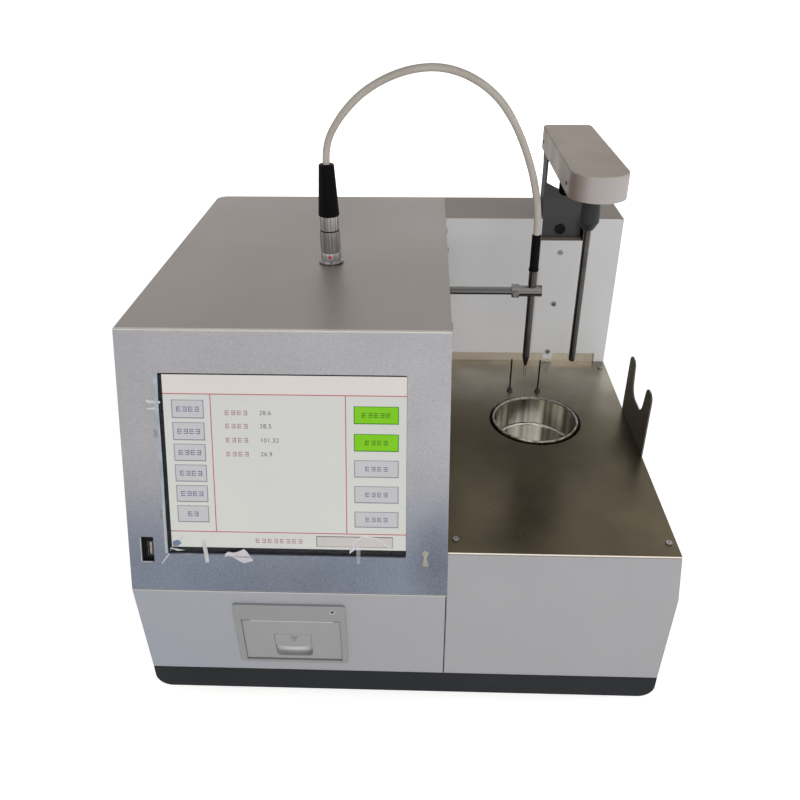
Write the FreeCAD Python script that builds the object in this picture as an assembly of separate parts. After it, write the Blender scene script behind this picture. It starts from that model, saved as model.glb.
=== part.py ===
"""Open-cup flash point tester for the laboratory bench.

A control unit with a leaning touch screen and a slip printer stands on the left. A steel deck on the
right holds the heated test cup, with a hot-wire igniter that swings over it. Behind the deck a column
lifts the arm that carries the thermometer.

Lengths are millimetres. X runs to the right, the front faces -Y and Z is up. Pieces are drawn in bench
places: x = 0 at the left side, y = 0 at the foremost fold of the front and z = 0 on the bench. At the
end they all move so that the origin is under the middle of the instrument.
"""

import FreeCAD, Part

import math
import os

V = FreeCAD.Vector
RIGHT = V(1, 0, 0)
BACK = V(0, 1, 0)
UP = V(0, 0, 1)

# Lit area of the touch screen, a standard panel that sets the control unit's width and height
active_left = 37.5
active_width = 211.2
active_height = 158.4
active_from_top = 39.4
screen_right_margin = 37.3
screen_foot = 40.2

# Slip printer's outer frame, which sets the height of the lower front
printer_from_right = 92.6
printer_width = 103.4
printer_low = 13.8
printer_height = 79.2
printer_head_gap = 15.1
printer_proud = 2.5
printer_corner_r = 2.5

# Main body
body_depth = 460.0
column_depth = 84.3
deck_width = 206.0
foot_height = 12.0
pan_height = 27.7
deck_rise = 175.2
top_setback = 74.9
toe_in = 4.4
pan_edge_r = 15.0
rear_corner_r = 12.0
sheet = 1.5
seam = 0.2
overrun = 5.0
round_gap = 0.02
point_gap = 0.0002

pan_bottom = foot_height
pan_top = pan_bottom + pan_height
apron_length = printer_low + printer_height + printer_head_gap
slope_length = active_from_top + active_height + screen_foot
fold_z = pan_top + math.sqrt(apron_length ** 2 - toe_in ** 2)
deck_z = pan_bottom + deck_rise
top_z = fold_z + math.sqrt(slope_length ** 2 - top_setback ** 2)
control_width = active_left + active_width + screen_right_margin
printer_left = control_width - printer_from_right - printer_width
body_width = control_width + deck_width
column_front = body_depth - column_depth
floor_z = pan_bottom + sheet
lean = math.asin(top_setback / slope_length)
tilt = math.asin(toe_in / apron_length)
mitre = math.tan((lean + tilt) / 2)

# Base pan and feet
lip_rise = 8.0
lip_lap = 6.0
foot_r = 15.0
foot_waist_r = 12.5
foot_inset_x = 46.0
foot_inset_y = 48.0
foot_recess_r = 6.0
foot_recess_depth = 5.0

# Screws: pan heads on the sheets
head_r = 3.0
head_h = 1.6
shank_r = 1.5
shank_length = 5.0
recess_r = 1.1
recess_depth = 0.8
screw_clearance = 0.1
dome_share = 0.55

# Deck
deck_t = 2.0
deck_flange = 16.0
deck_skirt = 14.0
notch_height = 11.4
notch_from_right = 13.1
deck_hole_gap = 4.1
deck_screw_inset_x = 7.4
deck_screw_inset_y = 17.5

# Test cup and its heater
cup_left_of_middle = 0.6
cup_depth_share = 0.625
cup_r = 46.9
cup_wall = 1.1
cup_height = 38.5
cup_stand = 2.0
cup_bead_r = 1.3
cup_floor_r = 4.0
cup_fit = 0.4
block_wall = 13.1
block_floor = 16.0
block_deck_gap = 2.0
block_mouth = 6.0
band_t = 2.5
band_margin = 6.0
band_ear = 9.0
band_ear_t = 2.0
band_ear_gap = 4.0
insulation_gap = 1.0
insulation_t = 14.0
stand_t = 4.0
stand_leg_r = 4.0
stand_leg_count = 4
stand_foot_r = 8.0
stand_foot_t = 2.0

# Flame pins behind the cup
pin_r = 1.0
pin_height = 43.0
pin_offsets = ((-22.7, 64.2), (10.2, 62.7))
pin_bush_r = 2.6
pin_bush_rise = 3.5
pin_bush_nut_r = 5.0
pin_bush_nut_t = 1.6
pin_fit = 0.05

# Screen front
bezel_t = 3.0
window_margin_left = 4.5
window_margin_right = 0.3
window_margin_top = 2.1
window_margin_low = 4.7
window_r = 1.5
glass_margin = 5.0
glass_t = 1.8
module_margin = 9.5
module_t = 8.0
module_recess = 0.5
frame_post_r = 2.3
frame_post_out = 5.0
frame_post_shares = (0.19, 0.95)
frame_rim = 12.0

# Socket for a memory stick
usb_left = 11.2
usb_width = 11.2
usb_from_fold = 27.6
usb_height = 23.4
usb_corner_r = 0.8
usb_flange_margin = 3.5
usb_shell_width = 7.0
usb_shell_height = 15.4
usb_shell_depth = 16.0
usb_shell_wall = 0.9
usb_shell_right = 2.0
usb_tongue_t = 1.9
usb_tongue_short = 1.5

# Door, paper path and lamp of the slip printer
door_margin_x = 6.6
door_margin_low = 3.7
door_height = 53.3
door_t = 3.0
door_sunk = 1.2
door_gap = 0.4
slit_height = 2.5
sleeve_inset = 3.0
sleeve_wall = 1.4
sleeve_depth = 14.0
hinge_pin_r = 0.8
hinge_pin_length = 3.0
hinge_fit = 0.06
tray_depth = 46.0
tray_wall = 2.0
lamp_from_right = 11.7
lamp_from_top = 7.0
lamp_r = 2.2
lamp_ring_r = 2.5
lamp_ring_proud = 0.4
lamp_length = 8.0
flap_left = 28.4
flap_width = 34.5
flap_top = 35.6
flap_height = 17.8
flap_sag = 2.6
flap_t = 2.6
flap_gap = 0.35
scoop_depth = 7.0
scoop_below = 13.0
scoop_wall = 1.5
scoop_round = 5.0
platen_r = 4.0
platen_length = 58.0
platen_low = 7.5
platen_gap = 3.0
platen_pin_r = 1.5
platen_pin_length = 3.0
platen_arm_t = 2.2
head_gap = 0.3
print_head_t = 5.0
print_head_height = 12.0
roll_r = 19.0
roll_width = 57.0
roll_core_r = 6.0
roll_fit = 0.08
roll_side_gap = 1.0
cheek_t = 2.0
cheek_pin_length = 6.0

# Column and strip cover
slot_from_right = 44.6
slot_width = 49.0
slot_back = 55.5
strip_top_drop = 26.1
strip_ledge = 12.5
strip_tab_width = 13.0
strip_tab_left = 3.0
strip_tab_drop = 8.0
strip_tab_r = 3.0
strip_screw_drop = 14.6
strip_screw_rise = 2.2
strip_screw_length = 4.0

# Lift
lift_behind_slot = 58.3
web_side_gap = 1.2
web_t = 2.0
web_behind_slot = 16.3
web_low_drop = 69.6
web_top_rise = 38.0
saddle_drop = 8.0
saddle_notch_depth = 8.0
saddle_notch_r = 8.0
cheek_depth = 28.0
gusset_reach = 9.0
gusset_drop = 17.0
ear_width = 10.0
ear_height = 30.0
carriage_width = 68.0
carriage_corner_r = 1.5
carriage_depth = 24.0
carriage_height = 36.0
carriage_drop = 33.6
guide_r = 5.0
guide_half_pitch = 22.0
guide_fit = 0.06
lead_screw_r = 4.0
thread_r = 5.0
frame_half_width = 39.0
frame_side_t = 2.0
frame_end_t = 6.0
frame_top_drop = 15.6
frame_foot_behind_slot = 28.3
frame_front_drop = 31.6
frame_front_low = 18.0
frame_back_gap = 3.0
motor_floor_gap = 22.3
motor_side = 35.0
motor_height = 40.0
motor_corner_r = 4.0
motor_boss_r = 11.0
motor_boss_h = 2.0
motor_shaft_r = 2.5
coupling_r = 8.5
coupling_length = 22.0
shaft_length = 16.0
nut_r = 9.0
nut_length = 10.0

# Arm
arm_right_of_slot = 1.6
arm_width = 55.7
arm_before_cup = 33.5
arm_behind_slot = 53.9
arm_rise = 69.7
arm_height = 24.7
arm_wall = 2.5
arm_edge_r = 1.6
arm_corner_r = 7.0
arm_plate_t = 2.0
arm_boss_r = 4.0
arm_boss_pitch = 70.0
arm_boss_inset = 9.0
arm_boss_rear_inset = 22.0
arm_screw_from_rear = (17.0, 189.0)
arm_screw_rise = 9.0
arm_screw_r = 2.0
arm_screw_head_h = 0.5
conduit_right_of_slot = 1.1
conduit_r = 6.5
conduit_bore_r = 4.5
conduit_low_gap = 10.0
conduit_fit = 0.1
web_screw_left = 0.7
web_screw_below_top = 55.2
web_screw_r = 6.0
web_screw_h = 3.0
web_screw_socket_r = 2.5

# Thermometer
thermo_left_of_slot = 1.7
thermo_before_cup = 0.8
thermo_r = 3.4
thermo_top_rise = 18.7
thermo_tip_above_deck = 75.5
collet_neck_r = 9.2
collet_bulge_r = 9.8
collet_nose_r = 4.6
collet_drop = 34.8
collet_flange_r = 12.0
collet_flange_t = 3.0
collet_fit = 0.05
collet_neck_share = 0.18
collet_swell_share = 0.5
collet_bulge_share = 0.76
collet_nose_round = 1.2

# Igniter
igniter_left_of_cup = 17.6
igniter_before_cup = 8.8
igniter_drop = 26.6
arm_rod_r = 4.0
bush_r = 7.0
bush_length = 12.0
bush_nut_r = 11.0
bush_nut_t = 4.0
bush_fit = 0.05
clamp_left_reach = 20.4
clamp_collar_length = 7.2
clamp_collar_r = 6.9
clamp_barrel_r = 5.7
clamp_right_reach = 9.8
clamp_rod_grip = 14.0
clamp_fit = 0.05
clamp_screw_r = 2.0
clamp_screw_proud = 2.4
probe_r = 3.7
probe_tail_r = 4.2
probe_tip_drop = 85.0
probe_tail_rise = 22.0
probe_cone = 10.0
probe_nose_r = 1.6
sleeve_r = 4.4
sleeve_ring_r = 5.0
sleeve_ring_h = 2.0
sleeve_top_rise = 59.0
sleeve_edge = 0.8
wire_r = 0.4
wire_leg = 12.9
wire_bend_r = 1.2
swing_motor_gap = 22.0
swing_plate_t = 2.0
swing_plate_margin = 5.0
coupler_r = 8.0
coupler_length = 20.0

# Cable between the control unit and the igniter
plug_from_wall = 118.0
plug_before_cup = 1.6
plug_flange_r = 12.4
plug_flange_h = 4.2
plug_socket_r = 8.0
plug_socket_drop = 16.0
plug_nut_r = 12.0
plug_nut_h = 4.0
plug_body_r = 10.0
plug_body_h = 29.0
plug_sleeve_r = 9.1
plug_sleeve_h = 15.1
plug_groove_count = 20
plug_groove_r = 0.7
boot_low_r = 10.2
boot_top_r = 7.4
boot_h = 49.2
boot_edge = 0.6
cable_r = 3.5
cable_plug_lead = 10.3
cable_probe_lead = 18.0
cable_shares = (
    (0.020, 0.128), (0.076, 0.214), (0.160, 0.303), (0.271, 0.372), (0.399, 0.416), (0.535, 0.424),
    (0.668, 0.382), (0.786, 0.298), (0.870, 0.177), (0.933, 0.039), (0.975, -0.092),
)
arc_share = 0.45

# Fork plate at the right side, where the cup tongs hang
fork_before_cup = 19.2
fork_t = 1.5
fork_half_base = 47.0
fork_half_top = 46.5
fork_mouth_half = 27.0
fork_notch_half = 20.0
fork_notch_r = 15.0
fork_prong_r = 8.0
fork_tip_rise = 70.5
fork_notch_rise = 34.0
fork_skirt = 34.0
fork_hole_r = 1.8
fork_hole_drop = 10.0
fork_hole_half_pitch = 34.5
fork_screw_drop = 22.0
fork_screw_half_pitch = 34.0
fork_corner_r = 5.0

# Rear panel, supply and electronics
vent_count = 9
vent_length = 60.0
vent_width = 3.0
vent_pitch = 9.0
vent_from_left = 60.0
vent_from_right = 80.0
vent_top_drop = 40.0
fan_from_wall = 76.0
fan_z = 230.0
fan_side = 80.0
fan_depth = 25.0
fan_bore_r = 37.5
fan_hub_r = 14.0
fan_blade_count = 7
fan_blade_r = 36.0
fan_blade_t = 1.6
fan_blade_twist = 32.0
fan_axle_r = 2.5
fan_fit = 0.06
fan_corner_r = 5.0
fan_strut_width = 6.0
fan_strut_t = 3.0
fan_rotor_margin = 0.6
grille_rings = 4
grille_slot = 4.5
grille_web = 4.0
grille_spoke = 5.0
inlet_x = 70.0
inlet_z = 84.0
inlet_width = 48.0
inlet_height = 26.0
inlet_proud = 3.0
inlet_body_width = 32.0
inlet_body_height = 22.0
inlet_body_depth = 22.0
inlet_cavity_width = 25.0
inlet_cavity_height = 16.0
inlet_cavity_depth = 16.0
inlet_chamfer = 5.0
blade_width = 2.0
blade_height = 5.0
blade_length = 11.0
blade_pitch = 7.0
blade_offset = 2.5
switch_x = 124.0
switch_width = 17.0
switch_height = 30.0
switch_proud = 2.0
switch_wall = 2.0
switch_body_depth = 18.0
rocker_gap = 0.4
rocker_end_gap = 1.2
rocker_tilt = 9.0
rocker_axle_r = 1.6
rocker_axle_depth = 5.0
rocker_fit = 0.05
supply_from_left = 34.0
supply_from_back = 28.5
supply_width = 108.0
supply_length = 190.0
supply_height = 44.0
supply_vents = 8
supply_vent_pitch = 14.0
supply_vent_width = 5.0
supply_vent_length = 60.0
supply_skin = 1.2
board_from_left = 40.0
board_supply_gap = 40.0
board_width = 150.0
board_length = 110.0
board_t = 1.6
board_stand = 10.0
board_stand_r = 3.0
board_inset = 6.0
sink_fins = 6
sink_fin_t = 1.6
sink_fin_pitch = 6.0
sink_height = 24.0
sink_length = 50.0
sink_base = 4.0
terminal_height = 11.0
terminal_depth = 10.0
terminal_length = 70.0
side_screw_shares = (0.217, 0.626, 0.761)
side_screw_drop = 6.5
rear_screw_inset = 12.0

# Places worked out from the sizes above
front_reach = toe_in - (printer_low + printer_height) * math.sin(tilt) - printer_proud * math.cos(tilt)
rear_reach = body_depth + inlet_proud
right_reach = body_width + fork_t + head_h
origin = V(right_reach / 2, (front_reach + rear_reach) / 2, 0)

deck_under = deck_z - deck_t
deck_front = (deck_z - fold_z) * math.tan(lean)
deck_rear = column_front + sheet + seam
notch_end_x = body_width - notch_from_right
cup_x = control_width + deck_width / 2 - cup_left_of_middle
cup_y = column_front * cup_depth_share
deck_hole_r = cup_r + deck_hole_gap
block_r = cup_r + block_wall
pin_places = [(cup_x + dx, cup_y + dy) for dx, dy in pin_offsets]
cup_base_z = deck_z + cup_stand - cup_height
block_bottom = cup_base_z - block_floor
block_top = deck_under - block_deck_gap
window_left = active_left - window_margin_left
window_right = active_left + active_width + window_margin_right
window_from_top = active_from_top - window_margin_top
window_to_top = active_from_top + active_height + window_margin_low
slot_left = body_width - slot_from_right - slot_width
slot_middle = slot_left + slot_width / 2
strip_top = top_z - strip_top_drop
strip_bottom = deck_z + notch_height
strip_tab_x = slot_middle - strip_tab_left
lift_x = slot_middle
lift_y = column_front + lift_behind_slot
web_y = column_front + web_behind_slot
web_left = slot_left + web_side_gap
web_right = slot_left + slot_width - web_side_gap
web_screw_x = slot_middle - web_screw_left
conduit_x = slot_middle + conduit_right_of_slot
conduit_y = web_y + web_t + conduit_r
arm_x = slot_middle + arm_right_of_slot
arm_front = cup_y - arm_before_cup
arm_rear = column_front + arm_behind_slot
arm_bottom = top_z + arm_rise
arm_top = arm_bottom + arm_height
web_low = top_z - web_low_drop
web_top = top_z + web_top_rise
carriage_top = top_z - carriage_drop
carriage_front = web_y + cheek_depth
carriage_back = carriage_front + carriage_depth
motor_top = floor_z + motor_floor_gap + motor_height
coupling_foot = motor_top + frame_side_t + seam
frame_bottom_z = coupling_foot + coupling_length + frame_end_t
frame_foot_y = column_front + frame_foot_behind_slot
frame_left = lift_x - frame_half_width
frame_right = lift_x + frame_half_width
frame_top = top_z - frame_top_drop
frame_back = body_depth - sheet - frame_back_gap
frame_front_top = top_z - frame_front_drop
thermo_x = slot_middle - thermo_left_of_slot
thermo_y = cup_y - thermo_before_cup
thermo_tip = deck_z + thermo_tip_above_deck
thermo_length = arm_bottom + thermo_top_rise - thermo_tip
igniter_x = cup_x - igniter_left_of_cup
igniter_y = cup_y - igniter_before_cup
igniter_z = top_z - igniter_drop
clamp_left = igniter_x - clamp_left_reach
clamp_right = igniter_x + clamp_right_reach
probe_tip_z = igniter_z - probe_tip_drop
probe_tail_z = igniter_z + probe_tail_rise
sleeve_top_z = igniter_z + sleeve_top_rise
plug_x = control_width - plug_from_wall
plug_y = cup_y - plug_before_cup
boot_low_z = top_z + plug_flange_h + plug_body_h + plug_sleeve_h
fork_y = cup_y - fork_before_cup
panel_inner_y = body_depth - sheet
fan_x = control_width - fan_from_wall
supply_y0 = panel_inner_y - supply_from_back - supply_length
board_y0 = supply_y0 - board_supply_gap - board_length


def box(x0, y0, z0, x1, y1, z1):
    """Box between two opposite corners."""
    return Part.makeBox(x1 - x0, y1 - y0, z1 - z0, V(x0, y0, z0))


def aimed(shape, direction, base):
    """Turns a shape drawn along +Z to a direction and puts its origin on a base point."""
    turn = FreeCAD.Placement(base, FreeCAD.Rotation(UP, direction))
    moved = shape.copy()
    moved.Placement = turn.multiply(moved.Placement)
    return moved


def rod(radius, length, direction, base):
    """Round bar from a base point."""
    return aimed(Part.makeCylinder(radius, length), direction, base)


def ring(outer, inner, length, direction, base):
    """Round tube from a base point."""
    wall = Part.makeCylinder(outer, length).cut(Part.makeCylinder(inner, length))
    return aimed(wall, direction, base)


def turned(profile, direction, base):
    """Solid of revolution from (radius, height) points."""
    points = [V(r, 0, h) for r, h in profile]
    face = Part.Face(Part.makePolygon(points + points[:1]))
    return aimed(face.revolve(V(0, 0, 0), UP, 360), direction, base)


def joined(*shapes):
    """Fuses shapes into one clean solid."""
    return shapes[0].multiFuse(list(shapes[1:])).removeSplitter()


def group(shapes):
    """Keeps separate solids together in one node."""
    return Part.makeCompound(list(shapes))


PLANES = {
    "xy": (RIGHT, BACK, UP),
    "xz": (RIGHT, UP, BACK),
    "yz": (BACK, UP, RIGHT),
}


def rounded_edges(points, radii):
    """Edges of a closed outline in the XY plane whose corners are rounded by the given radii."""
    corners = []
    for i, (x, y) in enumerate(points):
        here = V(x, y, 0)
        before = V(*points[i - 1], 0)
        after = V(*points[(i + 1) % len(points)], 0)
        came = (here - before).normalize()
        goes = (after - here).normalize()
        half_turn = came.getAngle(goes) / 2
        if radii[i] == 0 or half_turn == 0:
            corners.append((here, None, here))
            continue
        reach = radii[i] * math.tan(half_turn)
        inward = (goes - came).normalize()
        middle = here + inward * (radii[i] / math.cos(half_turn) - radii[i])
        corners.append((here - came * reach, middle, here + goes * reach))
    edges = []
    for i, (start, middle, end) in enumerate(corners):
        if middle is not None:
            edges.append(Part.Arc(start, middle, end).toShape())
        following = corners[(i + 1) % len(corners)][0]
        if end.distanceToPoint(following) > point_gap:
            edges.append(Part.LineSegment(end, following).toShape())
    return edges


def plate(plane, points, radii, low, high):
    """Prism over a rounded outline; a single radius serves every corner."""
    if not isinstance(radii, (list, tuple)):
        radii = [radii] * len(points)
    u, v, normal = PLANES[plane]
    face = Part.Face(Part.Wire(rounded_edges(points, radii)))
    prism = face.extrude(UP * (high - low))
    matrix = FreeCAD.Matrix(u.x, v.x, normal.x, 0, u.y, v.y, normal.y, 0, u.z, v.z, normal.z, 0)
    moved = prism.transformGeometry(matrix) if plane == "xz" else prism.copy()
    if plane == "yz":
        moved.Placement = FreeCAD.Placement(matrix)
    moved.translate(normal * low)
    return moved


def rect(x0, y0, x1, y1):
    """Corners of a rectangle, anticlockwise from the lower left."""
    return [(x0, y0), (x1, y0), (x1, y1), (x0, y1)]


def inset_outline(points, insets):
    """Moves each side of an anticlockwise outline inwards by its own distance."""
    lines = []
    for i, (x, y) in enumerate(points):
        nx, ny = points[(i + 1) % len(points)]
        length = math.hypot(nx - x, ny - y)
        dx = (nx - x) / length
        dy = (ny - y) / length
        lines.append((x - dy * insets[i], y + dx * insets[i], dx, dy))
    result = []
    for i, (x2, y2, dx2, dy2) in enumerate(lines):
        x1, y1, dx1, dy1 = lines[i - 1]
        along = ((x2 - x1) * dy2 - (y2 - y1) * dx2) / (dx1 * dy2 - dy1 * dx2)
        result.append((x1 + dx1 * along, y1 + dy1 * along))
    return result


def on_slope(shape):
    """Lifts a piece drawn as (x, distance above the fold, outwards) onto the leaning screen front."""
    moved = shape.copy()
    turn = FreeCAD.Rotation(RIGHT, 90 - math.degrees(lean))
    moved.Placement = FreeCAD.Placement(V(0, 0, fold_z), turn).multiply(moved.Placement)
    return moved


def on_apron(shape):
    """Lifts a piece drawn as (x, distance above the pan, outwards) onto the lower front."""
    moved = shape.copy()
    turn = FreeCAD.Rotation(RIGHT, 90 + math.degrees(tilt))
    moved.Placement = FreeCAD.Placement(V(0, toe_in, pan_top), turn).multiply(moved.Placement)
    return moved


def screw(direction, base, length=shank_length, radius=head_r, height=head_h):
    """Pan-head screw whose head sits on the base point and whose shank goes against the direction."""
    profile = [(0, -length), (shank_r, -length), (shank_r, 0), (radius, 0), (radius, height * dome_share)]
    profile += [(radius * dome_share, height), (recess_r, height), (recess_r, height - recess_depth)]
    profile += [(0, height - recess_depth)]
    return turned(profile, direction, base)


def screw_holes(shape, places, direction, depth=shank_length):
    """Clears the shanks of screws at the given places."""
    for place in places:
        hole = rod(shank_r + screw_clearance, depth + overrun, -direction, place + direction * overrun)
        shape = shape.cut(hole)
    return shape


# Screw places on the sheets
deck_screw_places = [
    V(control_width + deck_screw_inset_x, deck_front + deck_screw_inset_y, deck_z),
    V(body_width - deck_screw_inset_x, deck_front + deck_screw_inset_y, deck_z),
    V(body_width - deck_screw_inset_x, column_front - deck_screw_inset_y, deck_z),
    V(control_width + deck_screw_inset_x, column_front - deck_screw_inset_y, deck_z),
]
strip_screw_top = V(slot_middle, column_front, strip_top - strip_screw_drop)
strip_screw_low = V(strip_tab_x, column_front, strip_bottom + strip_screw_rise)
strip_screw_places = [strip_screw_top, (strip_screw_top + strip_screw_low) / 2, strip_screw_low]
side_screw_places = [
    V(control_width, body_depth * share, top_z - side_screw_drop) for share in side_screw_shares
]
fork_screw_places = [
    V(body_width + fork_t, fork_y + side * fork_screw_half_pitch, deck_z - fork_screw_drop)
    for side in (-1, 1)
]
rear_screw_places = [
    V(rear_corner_r + rear_screw_inset, body_depth, top_z - rear_screw_inset),
    V(body_width - rear_corner_r - rear_screw_inset, body_depth, top_z - rear_screw_inset),
    V(rear_corner_r + rear_screw_inset, body_depth, pan_top + lip_rise + rear_screw_inset),
    V(body_width - rear_corner_r - rear_screw_inset, body_depth, pan_top + lip_rise + rear_screw_inset),
]


def tray_block(inset, bottom, top, edge_r):
    """Body-sized block with round lower side edges and round rear corners, drawn in by an inset."""
    across = rect(inset, bottom, body_width - inset, top)
    front = plate("xz", across, [edge_r, edge_r, 0, 0], toe_in + inset, body_depth - inset)
    plan = rect(inset, toe_in + inset, body_width - inset, body_depth - inset)
    corner_r = rear_corner_r - inset
    return front.common(plate("xy", plan, [0, 0, corner_r, corner_r], bottom, top))


def base_pan():
    """Dark tray under the whole instrument, with a joggled lip that locates the covers."""
    pan = tray_block(0, pan_bottom, pan_top, pan_edge_r)
    pan = pan.cut(tray_block(sheet, floor_z, pan_top + overrun, pan_edge_r - sheet))
    lip_inner = 2 * sheet + seam
    foot = tray_block(sheet, pan_top - lip_lap, pan_top, 0)
    foot = foot.cut(tray_block(lip_inner, pan_top - lip_lap, pan_top, 0))
    lip = tray_block(sheet + seam, pan_top - lip_lap, pan_top + lip_rise, 0)
    lip = lip.cut(tray_block(lip_inner, pan_top - lip_lap, pan_top + lip_rise, 0))
    return joined(pan, foot, lip)


def rubber_feet():
    """Four turned rubber feet with a recess for their screw."""
    profile = [(foot_recess_r, 0), (foot_waist_r, 0), (foot_r, foot_height), (0, foot_height)]
    profile += [(0, foot_recess_depth), (foot_recess_r, foot_recess_depth)]
    places = []
    for x in (foot_inset_x, body_width - foot_inset_x):
        for y in (foot_inset_y, body_depth - foot_inset_y):
            places.append(V(x, y, 0))
    return group(turned(profile, UP, place) for place in places)


def side_outline(height, front_top_y):
    """Side view of the body up to a height, anticlockwise from the toe."""
    back = [(toe_in, pan_top), (body_depth, pan_top), (body_depth, height)]
    return back + [(front_top_y, height), (0, fold_z)]


def control_cover():
    """Folded hood of the control unit: left side, top and the inner right wall."""
    edge_insets = [0, 0, 0, bezel_t, sheet]
    outline = inset_outline(side_outline(top_z, top_setback), edge_insets)
    hood = plate("yz", outline, 0, 0, control_width)
    plan = rect(0, -overrun, control_width, body_depth)
    hood = hood.common(plate("xy", plan, [0, 0, 0, rear_corner_r], pan_top, top_z))
    inner_plan = rect(sheet, -overrun, control_width - sheet, body_depth - sheet)
    inner_r = rear_corner_r - sheet
    hood = hood.cut(plate("xy", inner_plan, [0, 0, 0, inner_r], pan_top - overrun, top_z - sheet))
    hood = hood.cut(box(rear_corner_r, panel_inner_y, pan_top - overrun,
                        control_width + overrun, body_depth + overrun, top_z - sheet))
    below = deck_under - deck_skirt
    hood = hood.cut(box(control_width - sheet, -overrun, pan_top - overrun,
                        control_width + overrun, body_depth + overrun, below))
    hood = hood.cut(rod(plug_socket_r + seam, overrun, UP, V(plug_x, plug_y, top_z - sheet)))
    hood = hood.cut(rod(bush_r + seam, overrun, RIGHT, V(control_width - sheet, igniter_y, igniter_z)))
    return screw_holes(hood, side_screw_places, RIGHT)


def work_cover():
    """Right front panel folded back along the right side below the deck."""
    outline = side_outline(deck_under, deck_front - deck_t * math.tan(lean))
    shell = plate("yz", outline, 0, control_width + seam, body_width)
    plan = rect(control_width, -overrun, body_width, body_depth)
    shell = shell.common(plate("xy", plan, [0, 0, rear_corner_r, 0], pan_top, deck_under))
    inner = inset_outline(outline, [-overrun, 0, -overrun, sheet, sheet])
    inner_plan = rect(control_width - overrun, -overrun, body_width - sheet, body_depth - sheet)
    corner = [0, 0, rear_corner_r - sheet, 0]
    hollow = plate("yz", inner, 0, control_width - overrun, body_width)
    hollow = hollow.common(plate("xy", inner_plan, corner, pan_top - overrun, deck_under + overrun))
    shell = shell.cut(hollow)
    shell = shell.cut(box(control_width - overrun, panel_inner_y, pan_top - overrun,
                          body_width - rear_corner_r, body_depth + overrun, deck_under + overrun))
    return screw_holes(shell, fork_screw_places, RIGHT)


def column_cover():
    """Hood of the rear column, slotted at the front and top for the lifting arm."""
    x0 = control_width + seam
    plan = rect(x0, column_front, body_width, body_depth)
    hood = plate("xy", plan, [0, 0, rear_corner_r, 0], deck_under, top_z)
    inner_plan = rect(x0 - overrun, column_front + sheet, body_width - sheet, body_depth - sheet)
    inner_r = rear_corner_r - sheet
    hood = hood.cut(plate("xy", inner_plan, [0, 0, inner_r, 0], deck_under - overrun, top_z - sheet))
    hood = hood.cut(box(x0 - overrun, panel_inner_y, deck_under - overrun,
                        body_width - rear_corner_r, body_depth + overrun, top_z - sheet))
    hood = hood.cut(box(x0 - overrun, column_front - overrun, deck_under - overrun,
                        body_width + overrun, deck_rear + deck_t + seam, deck_z))
    hood = hood.cut(box(x0 - overrun, column_front - overrun, deck_z - overrun,
                        notch_end_x, column_front + sheet, strip_bottom))
    slot_right = slot_left + slot_width
    hood = hood.cut(box(slot_left, column_front - overrun, deck_z,
                        slot_right, column_front + sheet, top_z + overrun))
    return hood.cut(box(slot_left, column_front - overrun, top_z - sheet - overrun,
                        slot_right, column_front + slot_back, top_z + overrun))


def strip_cover():
    """Removable strip that closes the lower slot, with a top ledge and a screw tab."""
    x0 = slot_left + seam
    x1 = slot_left + slot_width - seam
    strip = box(x0, column_front, strip_bottom, x1, column_front + sheet, strip_top)
    tab_x0 = strip_tab_x - strip_tab_width / 2
    tab_x1 = strip_tab_x + strip_tab_width / 2
    tab_outline = rect(tab_x0, strip_bottom - strip_tab_drop, tab_x1, strip_bottom + strip_tab_drop)
    tab = plate("xz", tab_outline, [strip_tab_r, strip_tab_r, 0, 0], column_front, column_front + sheet)
    ledge = box(x0, column_front, strip_top - sheet, x1, column_front + strip_ledge, strip_top)
    return screw_holes(joined(strip, tab, ledge), strip_screw_places, -BACK)


def deck_plate():
    """Steel work surface with the cup hole, bent up at the back and down at the front and right."""
    x0 = control_width + seam
    skirt_x = body_width - sheet - seam
    skirt_y = deck_front + sheet + seam
    deck = box(x0, deck_front, deck_under, body_width, deck_rear + deck_t, deck_z)
    deck = deck.common(plate("yz", side_outline(top_z, top_setback), 0, x0, body_width))
    upstand = box(x0, deck_rear, deck_under, notch_end_x - seam, deck_rear + deck_t, deck_z + deck_flange)
    front_skirt = box(x0 + deck_t, skirt_y, deck_under - deck_skirt, skirt_x, skirt_y + deck_t, deck_under)
    side_skirt = box(skirt_x - deck_t, skirt_y, deck_under - deck_skirt, skirt_x, deck_rear, deck_under)
    deck = joined(deck, upstand, front_skirt, side_skirt)
    deck = deck.cut(rod(deck_hole_r, deck_t, UP, V(cup_x, cup_y, deck_under)))
    for x, y in pin_places:
        deck = deck.cut(rod(pin_bush_r + pin_fit, deck_t, UP, V(x, y, deck_under)))
    deck = screw_holes(deck, deck_screw_places, UP)
    return screw_holes(deck, strip_screw_places[2:], -BACK)


def lower_panel():
    """Left front sheet below the screen, cut out for the printer."""
    top = apron_length - sheet * mitre - seam / 2
    panel = plate("xy", rect(0, 0, control_width, top), 0, -sheet, 0)
    hole = rect(printer_left + sleeve_inset - seam, printer_low + sleeve_inset - seam,
                printer_left + printer_width - sleeve_inset + seam,
                printer_low + printer_height - sleeve_inset + seam)
    return on_apron(panel.cut(plate("xy", hole, 0, -sheet, 0)))


def screen_bezel():
    """Thick leaning front frame of the screen."""
    low = bezel_t * mitre + seam / 2
    frame = plate("xy", rect(0, low, control_width, slope_length + bezel_t), 0, -bezel_t, 0)
    window = rect(window_left, slope_length - window_to_top, window_right, slope_length - window_from_top)
    frame = frame.cut(plate("xy", window, window_r, -bezel_t, 0))
    frame = frame.cut(plate("xy", usb_outline(seam), usb_corner_r, -bezel_t, 0))
    frame = on_slope(frame)
    return frame.cut(box(-overrun, -overrun, top_z, control_width + overrun, body_depth, top_z + overrun))


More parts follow.
